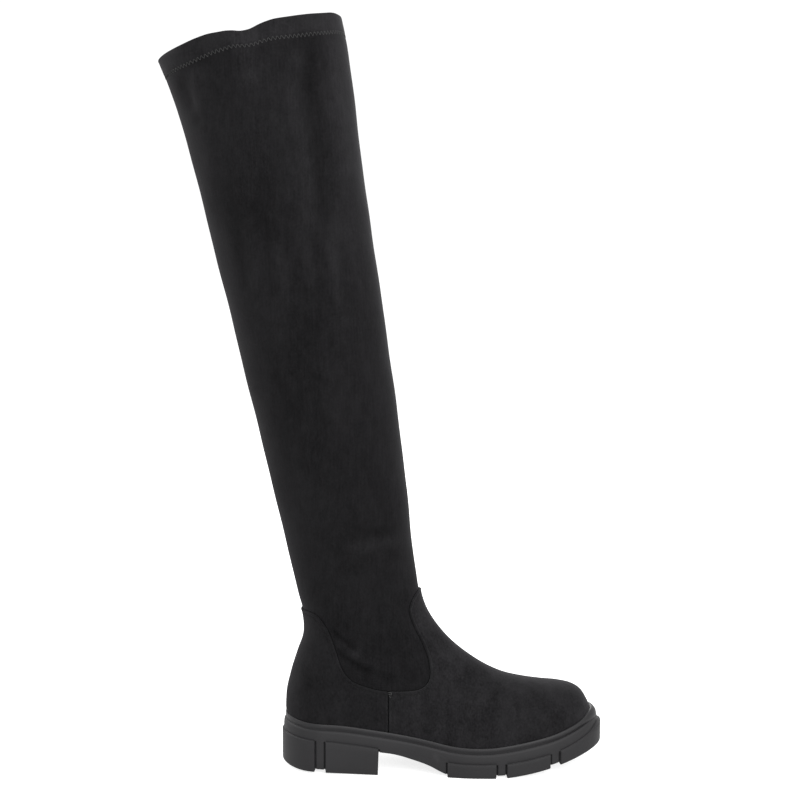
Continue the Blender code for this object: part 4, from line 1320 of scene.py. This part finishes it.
# Stage
FLOOR_REACH = 30.0
FLOOR_TONES = (0.32, 0.33)
FLOOR_CLOUD = 400.0
FLOOR_GLOW = 0.8
WORLD_STRENGTH = 1.08
CAMERA_PLACE = (97.47, -1300.0, 445.0)
CAMERA_PITCH = 5.5
CAMERA_REACH = 100.0
FOCAL_PIXELS = 1536.0
FRAME_PIXELS = 790.0
SENSOR = 36.0
# Soft lights: place, aim, width, height, power
LIGHTS = (
    ((0.85, -2.0, 1.4), (0.0, 0.0, 0.30), 0.9, 1.6, 94.0),
    ((-1.6, 0.85, 1.2), (0.0, 0.0, 0.30), 0.8, 1.6, 42.0),
    ((0.2, -0.4, 2.3), (0.0, 0.0, 0.0), 1.2, 0.9, 34.0),
    ((0.4, 2.3, 1.5), (0.0, 0.0, 0.30), 1.2, 1.4, 45.0),
)


def make_stage():
    """Glowing white floor, white surroundings, soft lights and the photo's camera."""
    mesh = bpy.data.meshes.new("floor")
    r = FLOOR_REACH
    mesh.from_pydata([(-r, -r, 0.0), (r, -r, 0.0), (r, r, 0.0), (-r, r, 0.0)], [], [(0, 1, 2, 3)])
    floor = add_object("floor", mesh)
    paint = Finish("floor_paint")
    cloud = paint.noise(FLOOR_CLOUD, detail=2.0)
    paint.set(Base_Color=paint.ramp(cloud, *zip((0.3, 0.7), map(grey, FLOOR_TONES))), Roughness=0.9,
              Emission_Color=WHITE, Emission_Strength=FLOOR_GLOW)
    mesh.materials.append(paint.material)

    world = bpy.data.worlds.new("studio")
    world.use_nodes = True
    sky = world.node_tree.nodes["Background"]
    sky.inputs["Color"].default_value = WHITE
    sky.inputs["Strength"].default_value = WORLD_STRENGTH
    bpy.context.scene.world = world

    for number, (place, aim, width, height, power) in enumerate(LIGHTS):
        lamp = bpy.data.lights.new("softbox_%d" % number, "AREA")
        lamp.shape = "RECTANGLE"
        lamp.size = width
        lamp.size_y = height
        lamp.energy = power
        thing = add_object(lamp.name, lamp)
        thing.location = place
        thing.rotation_euler = (Vector(aim) - Vector(place)).to_track_quat("-Z", "Y").to_euler()

    lens = bpy.data.cameras.new("camera")
    lens.sensor_width = SENSOR
    lens.lens = FOCAL_PIXELS * SENSOR / FRAME_PIXELS
    lens.clip_end = CAMERA_REACH
    camera = add_object("camera", lens)
    camera.location = tuple(np.array(CAMERA_PLACE) * MM + SHIFT)
    camera.rotation_euler = (math.radians(90.0 - CAMERA_PITCH), 0.0, 0.0)
    bpy.context.scene.camera = camera
    view = bpy.context.scene.view_settings
    view.view_transform = "Standard"
    view.look = "None"


def main():
    """Materials, stage and pieces."""
    # The leg suede takes the stored tone with painted fold highlight and shade
    leg_suede = suede("leg_suede", mid=0.0051, spread=0.44, sheen=0.036, patch_size=46.0, lean=-10.5,
                      streak_length=12.0, with_painted_fold_shade=True)
    vamp_suede = suede("vamp_suede", mid=0.0064, spread=0.52, sheen=0.040, patch_size=17.0)
    quarter_suede = suede("quarter_suede", mid=0.0051, spread=0.46, sheen=0.034, patch_size=24.0)
    sole_rubber = rubber("sole_rubber_moulded", rough_low=0.55, rough_high=0.72, grain_size=0.9)
    bead_rubber = rubber("welt_rubber_moulded", rough_low=0.45, rough_high=0.6, grain_size=0.7)
    lining = cloth("lining_cloth", dark=0.004, light=0.008, size=0.7)
    footbed = cloth("footbed_cloth", dark=0.007, light=0.014, size=0.9)
    hem_thread = thread("hem_thread", dark=0.020, light=0.037)
    overlay_thread = thread("overlay_thread", dark=0.005, light=0.009)
    # Darker suede for the strips of painted shadow along the overlay edges
    painted_shadow = suede("painted_shadow_suede", mid=0.0020, spread=0.2, sheen=0.0, patch_size=20.0)

    make_stage()
    make_leg(leg_suede, hem_thread)
    make_overlays(vamp_suede, quarter_suede, overlay_thread, hem_thread, painted_shadow)
    make_lining(lining)
    make_footbed(footbed)
    make_sole(sole_rubber)
    make_welt(bead_rubber)


main()
